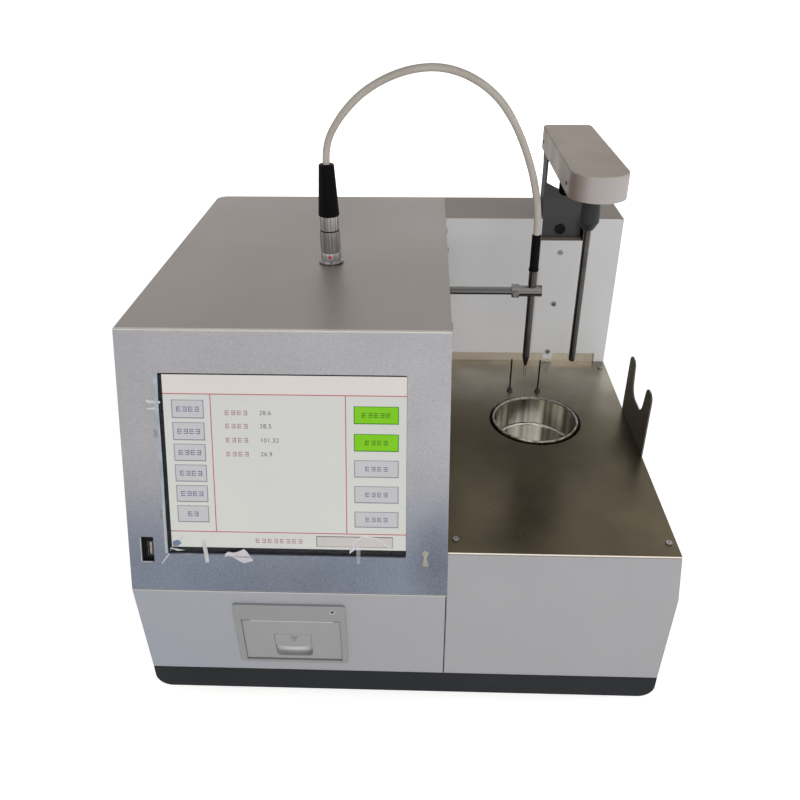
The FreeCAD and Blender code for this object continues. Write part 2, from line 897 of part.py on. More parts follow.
def usb_outline(grow):
    """Outline of the memory-stick opening on the screen front."""
    high = usb_from_fold + usb_height
    return rect(usb_left - grow, usb_from_fold - grow, usb_left + usb_width + grow, high + grow)


def touch_glass():
    """Glass of the touch screen behind the window."""
    outline = rect(window_left - glass_margin, slope_length - window_to_top - glass_margin,
                   window_right + glass_margin, slope_length - window_from_top + glass_margin)
    return on_slope(plate("xy", outline, 0, -bezel_t - glass_t, -bezel_t))


def active_outline(grow):
    """Lit area of the display, grown on every side."""
    top = slope_length - active_from_top + grow
    low = slope_length - active_from_top - active_height - grow
    return rect(active_left - grow, low, active_left + active_width + grow, top)


def display_module():
    """Flat display behind the glass, its lit face set back, in a sheet frame on four posts."""
    front = -bezel_t - glass_t
    back = front - module_t
    module = plate("xy", active_outline(module_margin), 0, back, front)
    module = module.cut(plate("xy", active_outline(0), 0, front - module_recess, front))
    frame = plate("xy", active_outline(module_margin + frame_post_out), frame_post_r, back - sheet, back)
    frame = frame.cut(plate("xy", active_outline(-frame_rim), frame_post_r, back - sheet, back))
    parts = [module, frame]
    reach = module_margin + frame_post_out / 2
    for x in (active_left - reach, active_left + active_width + reach):
        for share in frame_post_shares:
            foot = V(x, screen_foot + active_height * share, back)
            parts.append(rod(frame_post_r, -bezel_t - back, UP, foot))
    return on_slope(joined(*parts))


def usb_socket():
    """Metal socket behind its opening, on a flange against the back of the bezel."""
    middle_x = usb_left + usb_width / 2 + usb_shell_right
    middle_v = usb_from_fold + usb_height / 2
    half_w = usb_shell_width / 2
    half_h = usb_shell_height / 2
    face = -bezel_t - sheet
    flange = plate("xy", usb_outline(usb_flange_margin), 0, face, -bezel_t)
    flange = flange.cut(plate("xy", usb_outline(0), 0, face, -bezel_t))
    back = plate("xy", usb_outline(usb_flange_margin), 0, face - sheet, face)
    shell_outline = rect(middle_x - half_w, middle_v - half_h, middle_x + half_w, middle_v + half_h)
    shell = plate("xy", shell_outline, 0, face - usb_shell_depth, face)
    wall = usb_shell_wall
    cavity_outline = rect(middle_x - half_w + wall, middle_v - half_h + wall,
                          middle_x + half_w - wall, middle_v + half_h - wall)
    cavity = plate("xy", cavity_outline, 0, face - usb_shell_depth + wall, face)
    tongue = box(middle_x - usb_tongue_t / 2, middle_v - half_h + 2 * wall, face - usb_shell_depth + wall,
                 middle_x + usb_tongue_t / 2, middle_v + half_h - 2 * wall, face - usb_tongue_short)
    return on_slope(joined(joined(flange, back, shell).cut(cavity), tongue))


# Printer places, drawn flat as (x, distance above the pan, outwards)
printer_right = printer_left + printer_width
printer_top = printer_low + printer_height
door_left = printer_left + door_margin_x - door_gap
door_right = printer_right - door_margin_x + 2 * door_gap
door_low = printer_low + door_margin_low
door_top = door_low + door_height
door_face = printer_proud - door_sunk
door_back = door_face - door_t
door_axis_v = door_low + door_t / 2
door_axis_w = door_face - door_t / 2
slit_top = door_top + slit_height
flap_x0 = printer_left + flap_left + door_margin_x
flap_x1 = flap_x0 + flap_width
flap_v1 = door_low + flap_top
flap_v0 = flap_v1 - flap_height
flap_axis_w = door_face - flap_t / 2
flap_axis_v = flap_v1 - flap_t / 2
platen_v = door_top - platen_low
platen_w = door_back - platen_gap - platen_r
platen_x0 = (door_left + door_right - platen_length) / 2
platen_x1 = platen_x0 + platen_length
tray_front = -sleeve_depth - seam
roll_x0 = (door_left + door_right - roll_width) / 2
roll_x1 = roll_x0 + roll_width
roll_v = printer_low + sleeve_inset + tray_wall + roll_r + 2 * roll_side_gap
roll_w = tray_front - roll_r - roll_side_gap


def printer_bezel():
    """Raised frame of the printer with a sleeve through the panel and two hinge stubs for the door."""
    outer = rect(printer_left, printer_low, printer_right, printer_top)
    frame = plate("xy", outer, printer_corner_r, 0, printer_proud)
    sleeve_outer = rect(printer_left + sleeve_inset, printer_low + sleeve_inset,
                        printer_right - sleeve_inset, printer_top - sleeve_inset)
    sleeve = plate("xy", sleeve_outer, 0, -sleeve_depth, 0)
    inner = inset_outline(sleeve_outer, [sleeve_wall] * 4)
    sleeve = sleeve.cut(plate("xy", inner, 0, -sleeve_depth, 0))
    mouth = rect(door_left - door_gap, door_low - door_gap, door_right + door_gap, slit_top)
    frame = frame.cut(plate("xy", mouth, 0, 0, printer_proud))
    back = plate("xy", sleeve_outer, 0, -door_t, 0)
    back = back.cut(plate("xy", rect(mouth[0][0], mouth[0][1], mouth[2][0], slit_top), 0, -door_t, 0))
    sleeve = sleeve.cut(plate("xy", mouth, 0, -door_t, 0))
    body = joined(frame, back, sleeve)
    lamp = V(printer_right - lamp_from_right, printer_top - lamp_from_top, 0)
    lamp_low = lamp_length + seam - printer_proud
    body = body.cut(rod(lamp_r + seam, lamp_length + seam, UP, lamp - UP * lamp_low))
    for x, way in ((door_left - door_gap, 1), (door_right + door_gap, -1)):
        reach = door_gap + hinge_pin_length
        body = joined(body, rod(hinge_pin_r, reach, RIGHT * way, V(x, door_axis_v, door_axis_w)))
    return on_apron(body)


def status_lamp():
    """Small lamp in the printer frame."""
    base = V(printer_right - lamp_from_right, printer_top - lamp_from_top, printer_proud)
    profile = [(0, -lamp_length), (lamp_r, -lamp_length), (lamp_r, 0), (lamp_ring_r, 0)]
    profile += [(lamp_ring_r, lamp_ring_proud), (lamp_r, lamp_ring_proud), (0, 0)]
    return on_apron(turned(profile, UP, base))


def printer_door():
    """Front door of the printer: round hinge edge, finger scoop, and arms for the platen roller."""
    profile = rect(door_low, door_back, door_top, door_face)
    round_r = door_t / 2 - round_gap
    slab = plate("yz", profile, [round_r, 0, 0, round_r], door_left, door_right)
    scoop_low = flap_v0 - scoop_below
    cup_outline = rect(flap_x0 - scoop_wall, scoop_low - scoop_wall,
                       flap_x1 + scoop_wall, flap_v1 + scoop_wall)
    cup = plate("xy", cup_outline, scoop_round, door_face - scoop_depth - scoop_wall, door_face)
    door = joined(slab, cup)
    pocket = rect(flap_x0 - flap_gap, scoop_low, flap_x1 + flap_gap, flap_v1 + flap_gap)
    radii = [scoop_round, scoop_round, 0, 0]
    door = door.cut(plate("xy", pocket, radii, door_face - scoop_depth, door_face + overrun))
    for x in (platen_x0 - platen_arm_t - seam, platen_x1 + seam):
        holder = rect(platen_v - platen_r, door_back, platen_v + platen_r, platen_w - platen_r / 2)
        arm = plate("yz", holder, [0, 0, platen_r / 2, platen_r / 2], x, x + platen_arm_t)
        door = joined(door, arm)
    door = door.cut(rod(platen_pin_r + hinge_fit, platen_length + 2 * overrun, RIGHT,
                        V(platen_x0 - overrun, platen_v, platen_w)))
    pin_hole = hinge_pin_length + seam
    door = door.cut(rod(hinge_pin_r + hinge_fit, pin_hole, RIGHT, V(door_left, door_axis_v, door_axis_w)))
    door = door.cut(rod(hinge_pin_r + hinge_fit, pin_hole, -RIGHT, V(door_right, door_axis_v, door_axis_w)))
    span = flap_width + 2 * scoop_wall
    axle_hole = rod(hinge_pin_r + hinge_fit, span, RIGHT, V(flap_x0 - scoop_wall, flap_axis_v, flap_axis_w))
    return on_apron(door.cut(axle_hole))


def printer_latch():
    """Finger flap of the door, with a bowed lower edge and an axle along its top edge."""
    middle = (flap_x0 + flap_x1) / 2
    left_low = V(flap_x0, flap_v0 + flap_sag, 0)
    right_low = V(flap_x1, flap_v0 + flap_sag, 0)
    edges = [
        Part.Arc(left_low, V(middle, flap_v0, 0), right_low).toShape(),
        Part.LineSegment(right_low, V(flap_x1, flap_v1, 0)).toShape(),
        Part.LineSegment(V(flap_x1, flap_v1, 0), V(flap_x0, flap_v1, 0)).toShape(),
        Part.LineSegment(V(flap_x0, flap_v1, 0), left_low).toShape(),
    ]
    flap = Part.Face(Part.Wire(edges)).extrude(UP * flap_t)
    flap.translate(UP * (door_face - flap_t))
    corner = box(flap_x0, flap_axis_v, door_face - flap_t, flap_x1, flap_v1, door_face)
    flap = flap.cut(corner)
    barrel = rod(flap_t / 2, flap_width, RIGHT, V(flap_x0, flap_axis_v, flap_axis_w))
    length = flap_width + 2 * (scoop_wall - seam)
    axle = rod(hinge_pin_r, length, RIGHT, V(flap_x0 - scoop_wall + seam, flap_axis_v, flap_axis_w))
    return on_apron(joined(flap, barrel, axle))


def platen_roller():
    """Rubber-covered roller in the door that feeds the paper."""
    roller = rod(platen_r, platen_length, RIGHT, V(platen_x0, platen_v, platen_w))
    length = platen_length + 2 * platen_pin_length
    return on_apron(joined(roller, rod(platen_pin_r, length, RIGHT,
                                       V(platen_x0 - platen_pin_length, platen_v, platen_w))))


def printer_tray():
    """Paper compartment behind the printer frame, with the print head and two cheeks that hold the roll."""
    x0 = printer_left + sleeve_inset
    x1 = printer_right - sleeve_inset
    v0 = printer_low + sleeve_inset
    v1 = printer_top - sleeve_inset
    back = tray_front - tray_depth
    tray = box(x0, v0, back, x1, v1, -sleeve_depth)
    tray = tray.cut(box(x0 + tray_wall, v0 + tray_wall, back + tray_wall, x1 - tray_wall, v1 - tray_wall, 0))
    head_back = platen_w - platen_r - head_gap
    head_front = min(head_back, -sleeve_depth)
    head = box(x0 + tray_wall, platen_v - print_head_height / 2, head_front - print_head_t,
               x1 - tray_wall, platen_v + print_head_height / 2, head_front)
    parts = [tray, head]
    for x, way in ((roll_x0 - roll_side_gap - cheek_t, 1), (roll_x1 + roll_side_gap, -1)):
        parts.append(box(x, v0 + tray_wall, roll_w - roll_core_r,
                         x + cheek_t, roll_v + roll_core_r, roll_w + roll_core_r))
        parts.append(box(x, roll_v - roll_core_r, back + tray_wall,
                         x + cheek_t, roll_v + roll_core_r, roll_w))
        face = x + cheek_t if way == 1 else x
        parts.append(rod(roll_core_r, cheek_pin_length, RIGHT * way, V(face, roll_v, roll_w)))
    return on_apron(joined(*parts))


def paper_roll():
    """Roll of slip paper on the two stub pins of the tray."""
    return on_apron(ring(roll_r, roll_core_r + roll_fit, roll_width, RIGHT, V(roll_x0, roll_v, roll_w)))


def test_cup():
    """Thin spun-steel open cup with a rolled rim and a rounded floor."""
    top = cup_height - cup_bead_r
    profile = [
        V(0, 0, 0), V(cup_r - cup_floor_r, 0, 0), V(cup_r, 0, cup_floor_r), V(cup_r, 0, top),
        V(cup_r - cup_wall, 0, top), V(cup_r - cup_wall, 0, cup_floor_r),
        V(cup_r - cup_floor_r, 0, cup_wall), V(0, 0, cup_wall),
    ]
    turn_share = math.sqrt(0.5)
    outer_mid = V(cup_r - cup_floor_r * (1 - turn_share), 0, cup_floor_r * (1 - turn_share))
    inner_r = cup_floor_r - cup_wall
    inner_mid = V(cup_r - cup_wall - inner_r * (1 - turn_share), 0, cup_wall + inner_r * (1 - turn_share))
    edges = [
        Part.LineSegment(profile[0], profile[1]).toShape(),
        Part.Arc(profile[1], outer_mid, profile[2]).toShape(),
        Part.LineSegment(profile[2], profile[3]).toShape(),
        Part.LineSegment(profile[3], profile[4]).toShape(),
        Part.LineSegment(profile[4], profile[5]).toShape(),
        Part.Arc(profile[5], inner_mid, profile[6]).toShape(),
        Part.LineSegment(profile[6], profile[7]).toShape(),
        Part.LineSegment(profile[7], profile[0]).toShape(),
    ]
    wall = Part.Face(Part.Wire(edges)).revolve(V(0, 0, 0), UP, 360)
    bead = Part.makeTorus(cup_r - cup_wall / 2, cup_bead_r, V(0, 0, top))
    return aimed(joined(wall, bead), UP, V(cup_x, cup_y, cup_base_z))


def heater_block():
    """Cast heater that the cup stands in, with a coned mouth under the deck hole."""
    bore = cup_r + cup_fit
    height = block_top - block_bottom
    profile = [(0, 0), (block_r, 0), (block_r, height), (deck_hole_r, height), (bore, height - block_mouth)]
    profile += [(bore, block_floor), (0, block_floor)]
    return turned(profile, UP, V(cup_x, cup_y, block_bottom))


def heater_band():
    """Mica band heater round the block, split at the back between two clamp ears."""
    low = block_bottom + band_margin
    high = block_top - band_margin
    base = V(cup_x, cup_y, low)
    band = ring(block_r + band_t, block_r, high - low, UP, base)
    half = band_ear_gap / 2
    y0 = cup_y + block_r
    band = band.cut(box(cup_x - half, y0 - overrun, low, cup_x + half, y0 + overrun, high))
    ears = []
    for side in (-1, 1):
        inner_x = cup_x + side * half
        outer_x = cup_x + side * (half + band_ear_t)
        x0, x1 = sorted((inner_x, outer_x))
        ears.append(box(x0, y0 + band_t / 2, low, x1, y0 + band_ear, high))
    return joined(band, *ears)


def insulation_ring():
    """Ceramic-fibre ring round the heater, relieved for the clamp ears."""
    inner = block_r + band_t + insulation_gap
    fibre = ring(inner + insulation_t, inner, block_top - block_bottom, UP, V(cup_x, cup_y, block_bottom))
    half = band_ear_gap / 2 + band_ear_t + insulation_gap
    ear_end = cup_y + block_r + band_ear + insulation_gap
    return fibre.cut(box(cup_x - half, cup_y + block_r, block_bottom, cup_x + half, ear_end, block_top))


def heater_stand():
    """Round plate on four legs that carries the heater above the pan."""
    plate_r = block_r + band_t + insulation_gap + insulation_t
    stand = rod(plate_r, stand_t, UP, V(cup_x, cup_y, block_bottom - stand_t))
    parts = [stand]
    for i in range(stand_leg_count):
        turn = math.radians(360 * (i + 0.5) / stand_leg_count)
        leg_at = V(cup_x + (plate_r - stand_foot_r) * math.cos(turn),
                   cup_y + (plate_r - stand_foot_r) * math.sin(turn), floor_z)
        parts.append(rod(stand_leg_r, block_bottom - stand_t - floor_z, UP, leg_at))
        parts.append(rod(stand_foot_r, stand_foot_t, UP, leg_at))
    return joined(*parts)


def electrode_pins():
    """Two upright wire pins behind the cup, with rounded tops."""
    pins = []
    for x, y in pin_places:
        base = V(x, y, deck_under - pin_bush_nut_t)
        length = deck_z + pin_height - base.z - pin_r
        pins.append(joined(rod(pin_r, length, UP, base), Part.makeSphere(pin_r, base + UP * length)))
    return group(pins)


def pin_bushes():
    """Ceramic bushes that carry the pins through the deck, each with its nut below."""
    bushes = []
    for x, y in pin_places:
        bore = pin_r + pin_fit
        low = -pin_bush_nut_t - deck_t
        profile = [(bore, low), (pin_bush_nut_r, low), (pin_bush_nut_r, -deck_t), (pin_bush_r, -deck_t)]
        profile += [(pin_bush_r, 0), (pin_bush_r + pin_r, 0), (pin_bush_r, pin_bush_rise)]
        profile += [(bore, pin_bush_rise)]
        bushes.append(turned(profile, UP, V(x, y, deck_z)))
    return group(bushes)


def lift_bracket():
    """Grey channel in the slot: a notched web, two cheeks with gussets, and ears on the carriage."""
    cheek_back = web_y + cheek_depth
    notch_top = web_top - saddle_drop
    notch_low = notch_top - saddle_notch_depth
    a = conduit_x - saddle_notch_r
    b = conduit_x + saddle_notch_r
    saddle = [
        (web_left, web_low), (web_right, web_low), (web_right, web_top), (b, notch_top), (b, notch_low),
        (a, notch_low), (a, notch_top), (web_left, web_top),
    ]
    bend = saddle_notch_depth - seam
    parts = [plate("xz", saddle, [0, 0, 0, 0, bend, bend, 0, 0], web_y, web_y + web_t)]
    cheek = [
        (web_y, web_low), (cheek_back, web_low), (cheek_back, arm_bottom - gusset_drop),
        (cheek_back + gusset_reach, arm_bottom), (web_y, arm_bottom),
    ]
    for x in (web_left, web_right - web_t):
        parts.append(plate("yz", cheek, 0, x, x + web_t))
    for x0, x1 in ((web_left, web_left + ear_width), (web_right - ear_width, web_right)):
        parts.append(box(x0, cheek_back - web_t, web_low, x1, cheek_back, web_low + ear_height))
    parts.append(box(web_left, web_y, arm_bottom - web_t, web_right, cheek_back, arm_bottom))
    bracket = joined(*parts)
    conduit_hole = rod(conduit_r + conduit_fit, web_t, UP, V(conduit_x, conduit_y, arm_bottom - web_t))
    bracket = bracket.cut(conduit_hole)
    place = V(web_screw_x, web_y, web_top - web_screw_below_top)
    return screw_holes(bracket, [place], -BACK)


def carriage_block():
    """Sliding block on the two guide rods, driven by the nut on the lead screw."""
    low = carriage_top - carriage_height
    half = carriage_width / 2
    block = plate("xy", rect(lift_x - half, carriage_front, lift_x + half, carriage_back), carriage_corner_r,
                  low, carriage_top)
    nut = rod(nut_r, nut_length, UP, V(lift_x, lift_y, low - nut_length))
    block = joined(block, nut)
    for side, radius in ((-1, guide_r), (0, thread_r), (1, guide_r)):
        foot = V(lift_x + side * guide_half_pitch, lift_y, low - nut_length)
        bore = rod(radius + guide_fit, carriage_height + nut_length, UP, foot)
        block = block.cut(bore)
    return block


def guide_rods():
    """Two ground rods between the ends of the lift frame."""
    rods = []
    for side in (-1, 1):
        base = V(lift_x + side * guide_half_pitch, lift_y, frame_bottom_z)
        rods.append(rod(guide_r, frame_top - frame_end_t - frame_bottom_z, UP, base))
    return group(rods)


def lead_screw():
    """Lead screw with its journals and the shaft coupling at its foot."""
    low = frame_bottom_z + guide_fit
    high = frame_top - frame_end_t - guide_fit
    thread = rod(thread_r, high - low, UP, V(lift_x, lift_y, low))
    top_journal = rod(lead_screw_r, frame_end_t, UP, V(lift_x, lift_y, high))
    foot_journal = rod(lead_screw_r, low - coupling_foot, UP, V(lift_x, lift_y, coupling_foot))
    coupling = rod(coupling_r, coupling_length - seam, UP, V(lift_x, lift_y, coupling_foot))
    whole = joined(thread, top_journal, foot_journal, coupling)
    return whole.cut(rod(motor_shaft_r + guide_fit, shaft_length, UP, V(lift_x, lift_y, coupling_foot)))


def lift_frame():
    """Folded frame of the lift: two side cheeks, back, front strip, and thick end plates."""
    front_y = column_front + sheet + seam
    low_z = deck_z + frame_front_low
    side = [
        (frame_foot_y, floor_z), (frame_back, floor_z), (frame_back, frame_top), (carriage_front, frame_top),
        (front_y, frame_front_top), (front_y, low_z), (frame_foot_y, low_z - frame_front_low),
    ]
    parts = []
    for x in (frame_left, frame_right - frame_side_t):
        parts.append(plate("yz", side, 0, x, x + frame_side_t))
    parts.append(box(frame_left, frame_back - frame_side_t, floor_z, frame_right, frame_back, frame_top))
    parts.append(box(frame_left, front_y, low_z, frame_right, front_y + frame_side_t, frame_front_top))
    end_front = carriage_front + web_t
    top_plate = box(frame_left, end_front, frame_top - frame_end_t, frame_right, frame_back, frame_top)
    low_plate = box(frame_left, frame_foot_y, frame_bottom_z - frame_end_t,
                    frame_right, frame_back, frame_bottom_z)
    motor_plate = box(frame_left, frame_foot_y, motor_top, frame_right, frame_back, motor_top + frame_side_t)
    parts += [top_plate, low_plate, motor_plate]
    frame = joined(*parts)
    journal = lead_screw_r + guide_fit
    frame = frame.cut(rod(journal, frame_end_t + overrun, UP, V(lift_x, lift_y, frame_top - frame_end_t)))
    frame = frame.cut(rod(journal, frame_end_t, UP, V(lift_x, lift_y, frame_bottom_z - frame_end_t)))
    frame = frame.cut(rod(motor_boss_r + seam, frame_side_t, UP, V(lift_x, lift_y, motor_top)))
    return screw_holes(frame, strip_screw_places[:2], -BACK)


def stepper(direction, base):
    """Square stepping motor with its boss and shaft; the base point is on its mounting face."""
    half = motor_side / 2
    body = plate("xy", rect(-half, -half, half, half), motor_corner_r, -motor_height, 0)
    boss = Part.makeCylinder(motor_boss_r, motor_boss_h)
    shaft = Part.makeCylinder(motor_shaft_r, shaft_length)
    return aimed(joined(body, boss, shaft), direction, base)


def lift_motor():
    """Stepping motor of the lift."""
    return stepper(UP, V(lift_x, lift_y, motor_top))


def arm_outline(inset):
    """Plan of the arm: square behind, half round in front, with its side radii in order."""
    half = arm_width / 2 - inset
    x0 = arm_x - half
    x1 = arm_x + half
    corner = max(arm_corner_r - inset, arm_wall / 2)
    points = rect(x0, arm_front + inset, x1, arm_rear - inset)
    nose = half - round_gap
    return points, [nose, nose, corner, corner]


def arm_boss_places():
    """Screw bosses inside the arm."""
    near = arm_x - arm_width / 2 + arm_boss_inset
    far = arm_x + arm_width / 2 - arm_boss_inset
    rear = arm_rear - arm_boss_rear_inset
    places = []
    for y in (rear - 2 * arm_boss_pitch, rear):
        places += [V(near, y, 0), V(far, y, 0)]
    return places


def arm_housing():
    """Painted shell of the lifting arm, open below, with four screw bosses."""
    points, radii = arm_outline(0)
    shell = plate("xy", points, radii, arm_bottom, arm_top)
    top_edges = [e for e in shell.Edges if min(v.Z for v in e.Vertexes) > arm_top - seam]
    shell = shell.makeFillet(arm_edge_r, top_edges)
    points, radii = arm_outline(arm_wall)
    shell = shell.cut(plate("xy", points, radii, arm_bottom - overrun, arm_top - arm_wall))
    boss_low = arm_bottom + arm_plate_t
    parts = [shell]
    for place in arm_boss_places():
        parts.append(rod(arm_boss_r, arm_top - arm_wall - boss_low, UP, V(place.x, place.y, boss_low)))
    return joined(*parts)


def arm_plate():
    """Flat plate that closes the arm from below and carries the collet."""
    points, radii = arm_outline(arm_wall + seam)
    closing = plate("xy", points, radii, arm_bottom, arm_bottom + arm_plate_t)
    return closing.cut(rod(collet_neck_r + collet_fit, arm_plate_t, UP, V(thermo_x, thermo_y, arm_bottom)))


def head_screws():
    """Two side screws of the arm and the socket screw in the web of the bracket."""
    screws = []
    for back in arm_screw_from_rear:
        place = V(arm_x - arm_width / 2, arm_rear - back, arm_bottom + arm_screw_rise)
        screws.append(rod(arm_screw_r, arm_screw_head_h, -RIGHT, place))
    place = V(web_screw_x, web_y, web_top - web_screw_below_top)
    profile = [(0, -web_t), (shank_r, -web_t), (shank_r, 0), (web_screw_r, 0)]
    profile += [(web_screw_r, web_screw_h), (web_screw_socket_r, web_screw_h)]
    profile += [(web_screw_socket_r, web_screw_h / 2), (0, web_screw_h / 2)]
    screws.append(turned(profile, -BACK, place))
    return group(screws)


def sensor_conduit():
    """Black conduit that leads the thermometer's wires from the arm down behind the web."""
    low = web_low + conduit_low_gap
    return ring(conduit_r, conduit_bore_r, arm_bottom - low, UP, V(conduit_x, conduit_y, low))


def rod_collet():
    """Grey collet under the arm, bulged and then coned down to the thermometer rod."""
    bore = thermo_r + collet_fit
    drop = collet_drop
    top = arm_plate_t + collet_flange_t
    profile = [
        (bore, top),
        (bore, -drop),
        (collet_nose_r, -drop),
        (collet_nose_r + collet_nose_round, collet_nose_round - drop),
        (collet_bulge_r, -drop * collet_bulge_share),
        (collet_bulge_r, -drop * collet_swell_share),
        (collet_neck_r, -drop * collet_neck_share),
        (collet_neck_r, arm_plate_t),
        (collet_flange_r, arm_plate_t),
        (collet_flange_r, top),
    ]
    return turned(profile, UP, V(thermo_x, thermo_y, arm_bottom))


def thermometer_rod():
    """Steel temperature probe with a domed tip."""
    tip = V(thermo_x, thermo_y, thermo_tip + thermo_r)
    shaft = rod(thermo_r, thermo_length - thermo_r, UP, tip)
    return joined(shaft, Part.makeSphere(thermo_r, tip))


def wall_bush():
    """Bush in the control unit's wall that the igniter's arm turns in, collared inside."""
    bore = arm_rod_r + bush_fit
    inside = -sheet
    profile = [
        (bore, 0), (bush_r, 0), (bush_r, inside), (bush_nut_r, inside), (bush_nut_r, inside - bush_nut_t),
        (bush_r, inside - bush_nut_t), (bush_r, inside - bush_length), (bore, inside - bush_length),
    ]
    return turned(profile, RIGHT, V(control_width, igniter_y, igniter_z))


swing_face = control_width - sheet - bush_length - swing_motor_gap - coupler_length


def swing_motor():
    """Stepping motor that swings the igniter, with the folded bracket that hangs it on the inner wall."""
    half = motor_side / 2 + swing_plate_margin
    wall = control_width - sheet
    top = igniter_z + motor_side / 2
    plate_points = rect(igniter_y - half, igniter_z - half, igniter_y + half, top)
    parts = [plate("yz", plate_points, 0, swing_face, swing_face + swing_plate_t)]
    for y in (igniter_y - half, igniter_y + half - swing_plate_t):
        parts.append(box(swing_face, y, igniter_z - half, wall, y + swing_plate_t, top))
    bracket = joined(*parts)
    bracket = bracket.cut(rod(motor_boss_r, swing_plate_t, RIGHT, V(swing_face, igniter_y, igniter_z)))
    return joined(bracket, stepper(RIGHT, V(swing_face, igniter_y, igniter_z)))


def igniter_arm():
    """Polished horizontal arm of the igniter, with the coupler that drives it."""
    start = swing_face + motor_boss_h + 2 * seam
    end = clamp_left + clamp_rod_grip
    shaft = rod(arm_rod_r, end - start, RIGHT, V(start, igniter_y, igniter_z))
    coupler = rod(coupler_r, coupler_length, RIGHT, V(start, igniter_y, igniter_z))
    arm = joined(shaft, coupler)
    reach = swing_face + shaft_length + seam - start
    return arm.cut(rod(motor_shaft_r + bush_fit, reach, RIGHT, V(start, igniter_y, igniter_z)))


def rod_clamp():
    """Small cross clamp: a collar on the arm and a barrel that the probe passes through."""
    centre = V(clamp_left, igniter_y, igniter_z)
    collar = rod(clamp_collar_r, clamp_collar_length, RIGHT, centre)
    barrel = rod(clamp_barrel_r, clamp_right - clamp_left, RIGHT, centre)
    clamp = joined(collar, barrel)
    clamp = clamp.cut(rod(arm_rod_r + clamp_fit, clamp_rod_grip + seam, RIGHT, centre))
    cross = V(igniter_x, igniter_y, igniter_z - clamp_collar_r)
    clamp = clamp.cut(rod(probe_r + clamp_fit, 2 * clamp_collar_r, UP, cross))
    screw_base = V(clamp_left + clamp_collar_length / 2, igniter_y, igniter_z)
    return clamp.cut(rod(clamp_screw_r + clamp_fit, clamp_collar_r, -BACK, screw_base))


def clamp_screw():
    """Knurled set screw in the front of the clamp."""
    base = V(clamp_left + clamp_collar_length / 2, igniter_y - arm_rod_r - seam, igniter_z)
    reach = clamp_collar_r - arm_rod_r
    profile = [(0, 0), (clamp_screw_r, 0), (clamp_screw_r, reach), (clamp_screw_r + head_h / 2, reach)]
    profile += [(clamp_screw_r + head_h / 2, reach + clamp_screw_proud), (0, reach + clamp_screw_proud)]
    return turned(profile, -BACK, base)


def igniter_probe():
    """Upright steel tube of the igniter with a coned nose, thicker above the clamp."""
    clamp_top = igniter_z + clamp_collar_r - probe_tip_z
    length = probe_tail_z - probe_tip_z
    profile = [
        (0, 0), (probe_nose_r, 0), (probe_r, probe_cone), (probe_r, clamp_top), (probe_tail_r, clamp_top),
        (probe_tail_r, length), (0, length),
    ]
    return turned(profile, UP, V(igniter_x, igniter_y, probe_tip_z))


def probe_sleeve():
    """Black sleeve where the cable enters the igniter."""
    height = sleeve_top_z - probe_tail_z
    profile = [
        (0, 0), (sleeve_ring_r, 0), (sleeve_ring_r, sleeve_ring_h), (sleeve_r, sleeve_ring_h),
        (sleeve_r, height - sleeve_edge), (sleeve_r - sleeve_edge / 2, height), (0, height),
    ]
    return turned(profile, UP, V(igniter_x, igniter_y, probe_tail_z))


def igniter_wire():
    """Hot wire under the nose: two legs and a round bend."""
    parts = []
    low = probe_tip_z - wire_leg
    for side in (-1, 1):
        parts.append(rod(wire_r, wire_leg, UP, V(igniter_x + side * wire_bend_r, igniter_y, low)))
    bend = Part.makeTorus(wire_bend_r, wire_r, V(igniter_x, igniter_y, low), BACK)
    above = box(igniter_x - overrun, igniter_y - overrun, low,
                igniter_x + overrun, igniter_y + overrun, low + overrun)
    return joined(bend.cut(above), *parts)


def panel_socket():
    """Round panel socket on top of the control unit, with its nut inside."""
    nut_top = -sheet
    nut_low = nut_top - plug_nut_h
    profile = [
        (0, -plug_socket_drop), (plug_socket_r, -plug_socket_drop), (plug_socket_r, nut_low),
        (plug_nut_r, nut_low), (plug_nut_r, nut_top), (plug_socket_r, nut_top), (plug_socket_r, 0),
        (plug_flange_r, 0), (plug_flange_r, plug_flange_h / 2), (plug_body_r, plug_flange_h),
        (0, plug_flange_h),
    ]
    return turned(profile, UP, V(plug_x, plug_y, top_z))


def cable_plug():
    """Metal plug of the cable: a fluted grip with a smooth collar above it."""
    low = top_z + plug_flange_h
    grip = rod(plug_body_r, plug_body_h, UP, V(plug_x, plug_y, low))
    for i in range(plug_groove_count):
        turn = math.radians(360 * i / plug_groove_count)
        x = plug_x + plug_body_r * math.cos(turn)
        y = plug_y + plug_body_r * math.sin(turn)
        place = V(x, y, low + plug_flange_h)
        grip = grip.cut(rod(plug_groove_r, plug_body_h - 2 * plug_flange_h, UP, place))
    collar = rod(plug_sleeve_r, plug_sleeve_h, UP, V(plug_x, plug_y, low + plug_body_h))
    return joined(grip, collar)


def plug_boot():
    """Black tapered boot where the cable leaves the plug."""
    profile = [
        (0, 0), (boot_low_r - boot_edge, 0), (boot_low_r, boot_edge), (boot_top_r, boot_h - boot_edge),
        (boot_top_r - boot_edge, boot_h), (0, boot_h),
    ]
    return turned(profile, UP, V(plug_x, plug_y, boot_low_z))


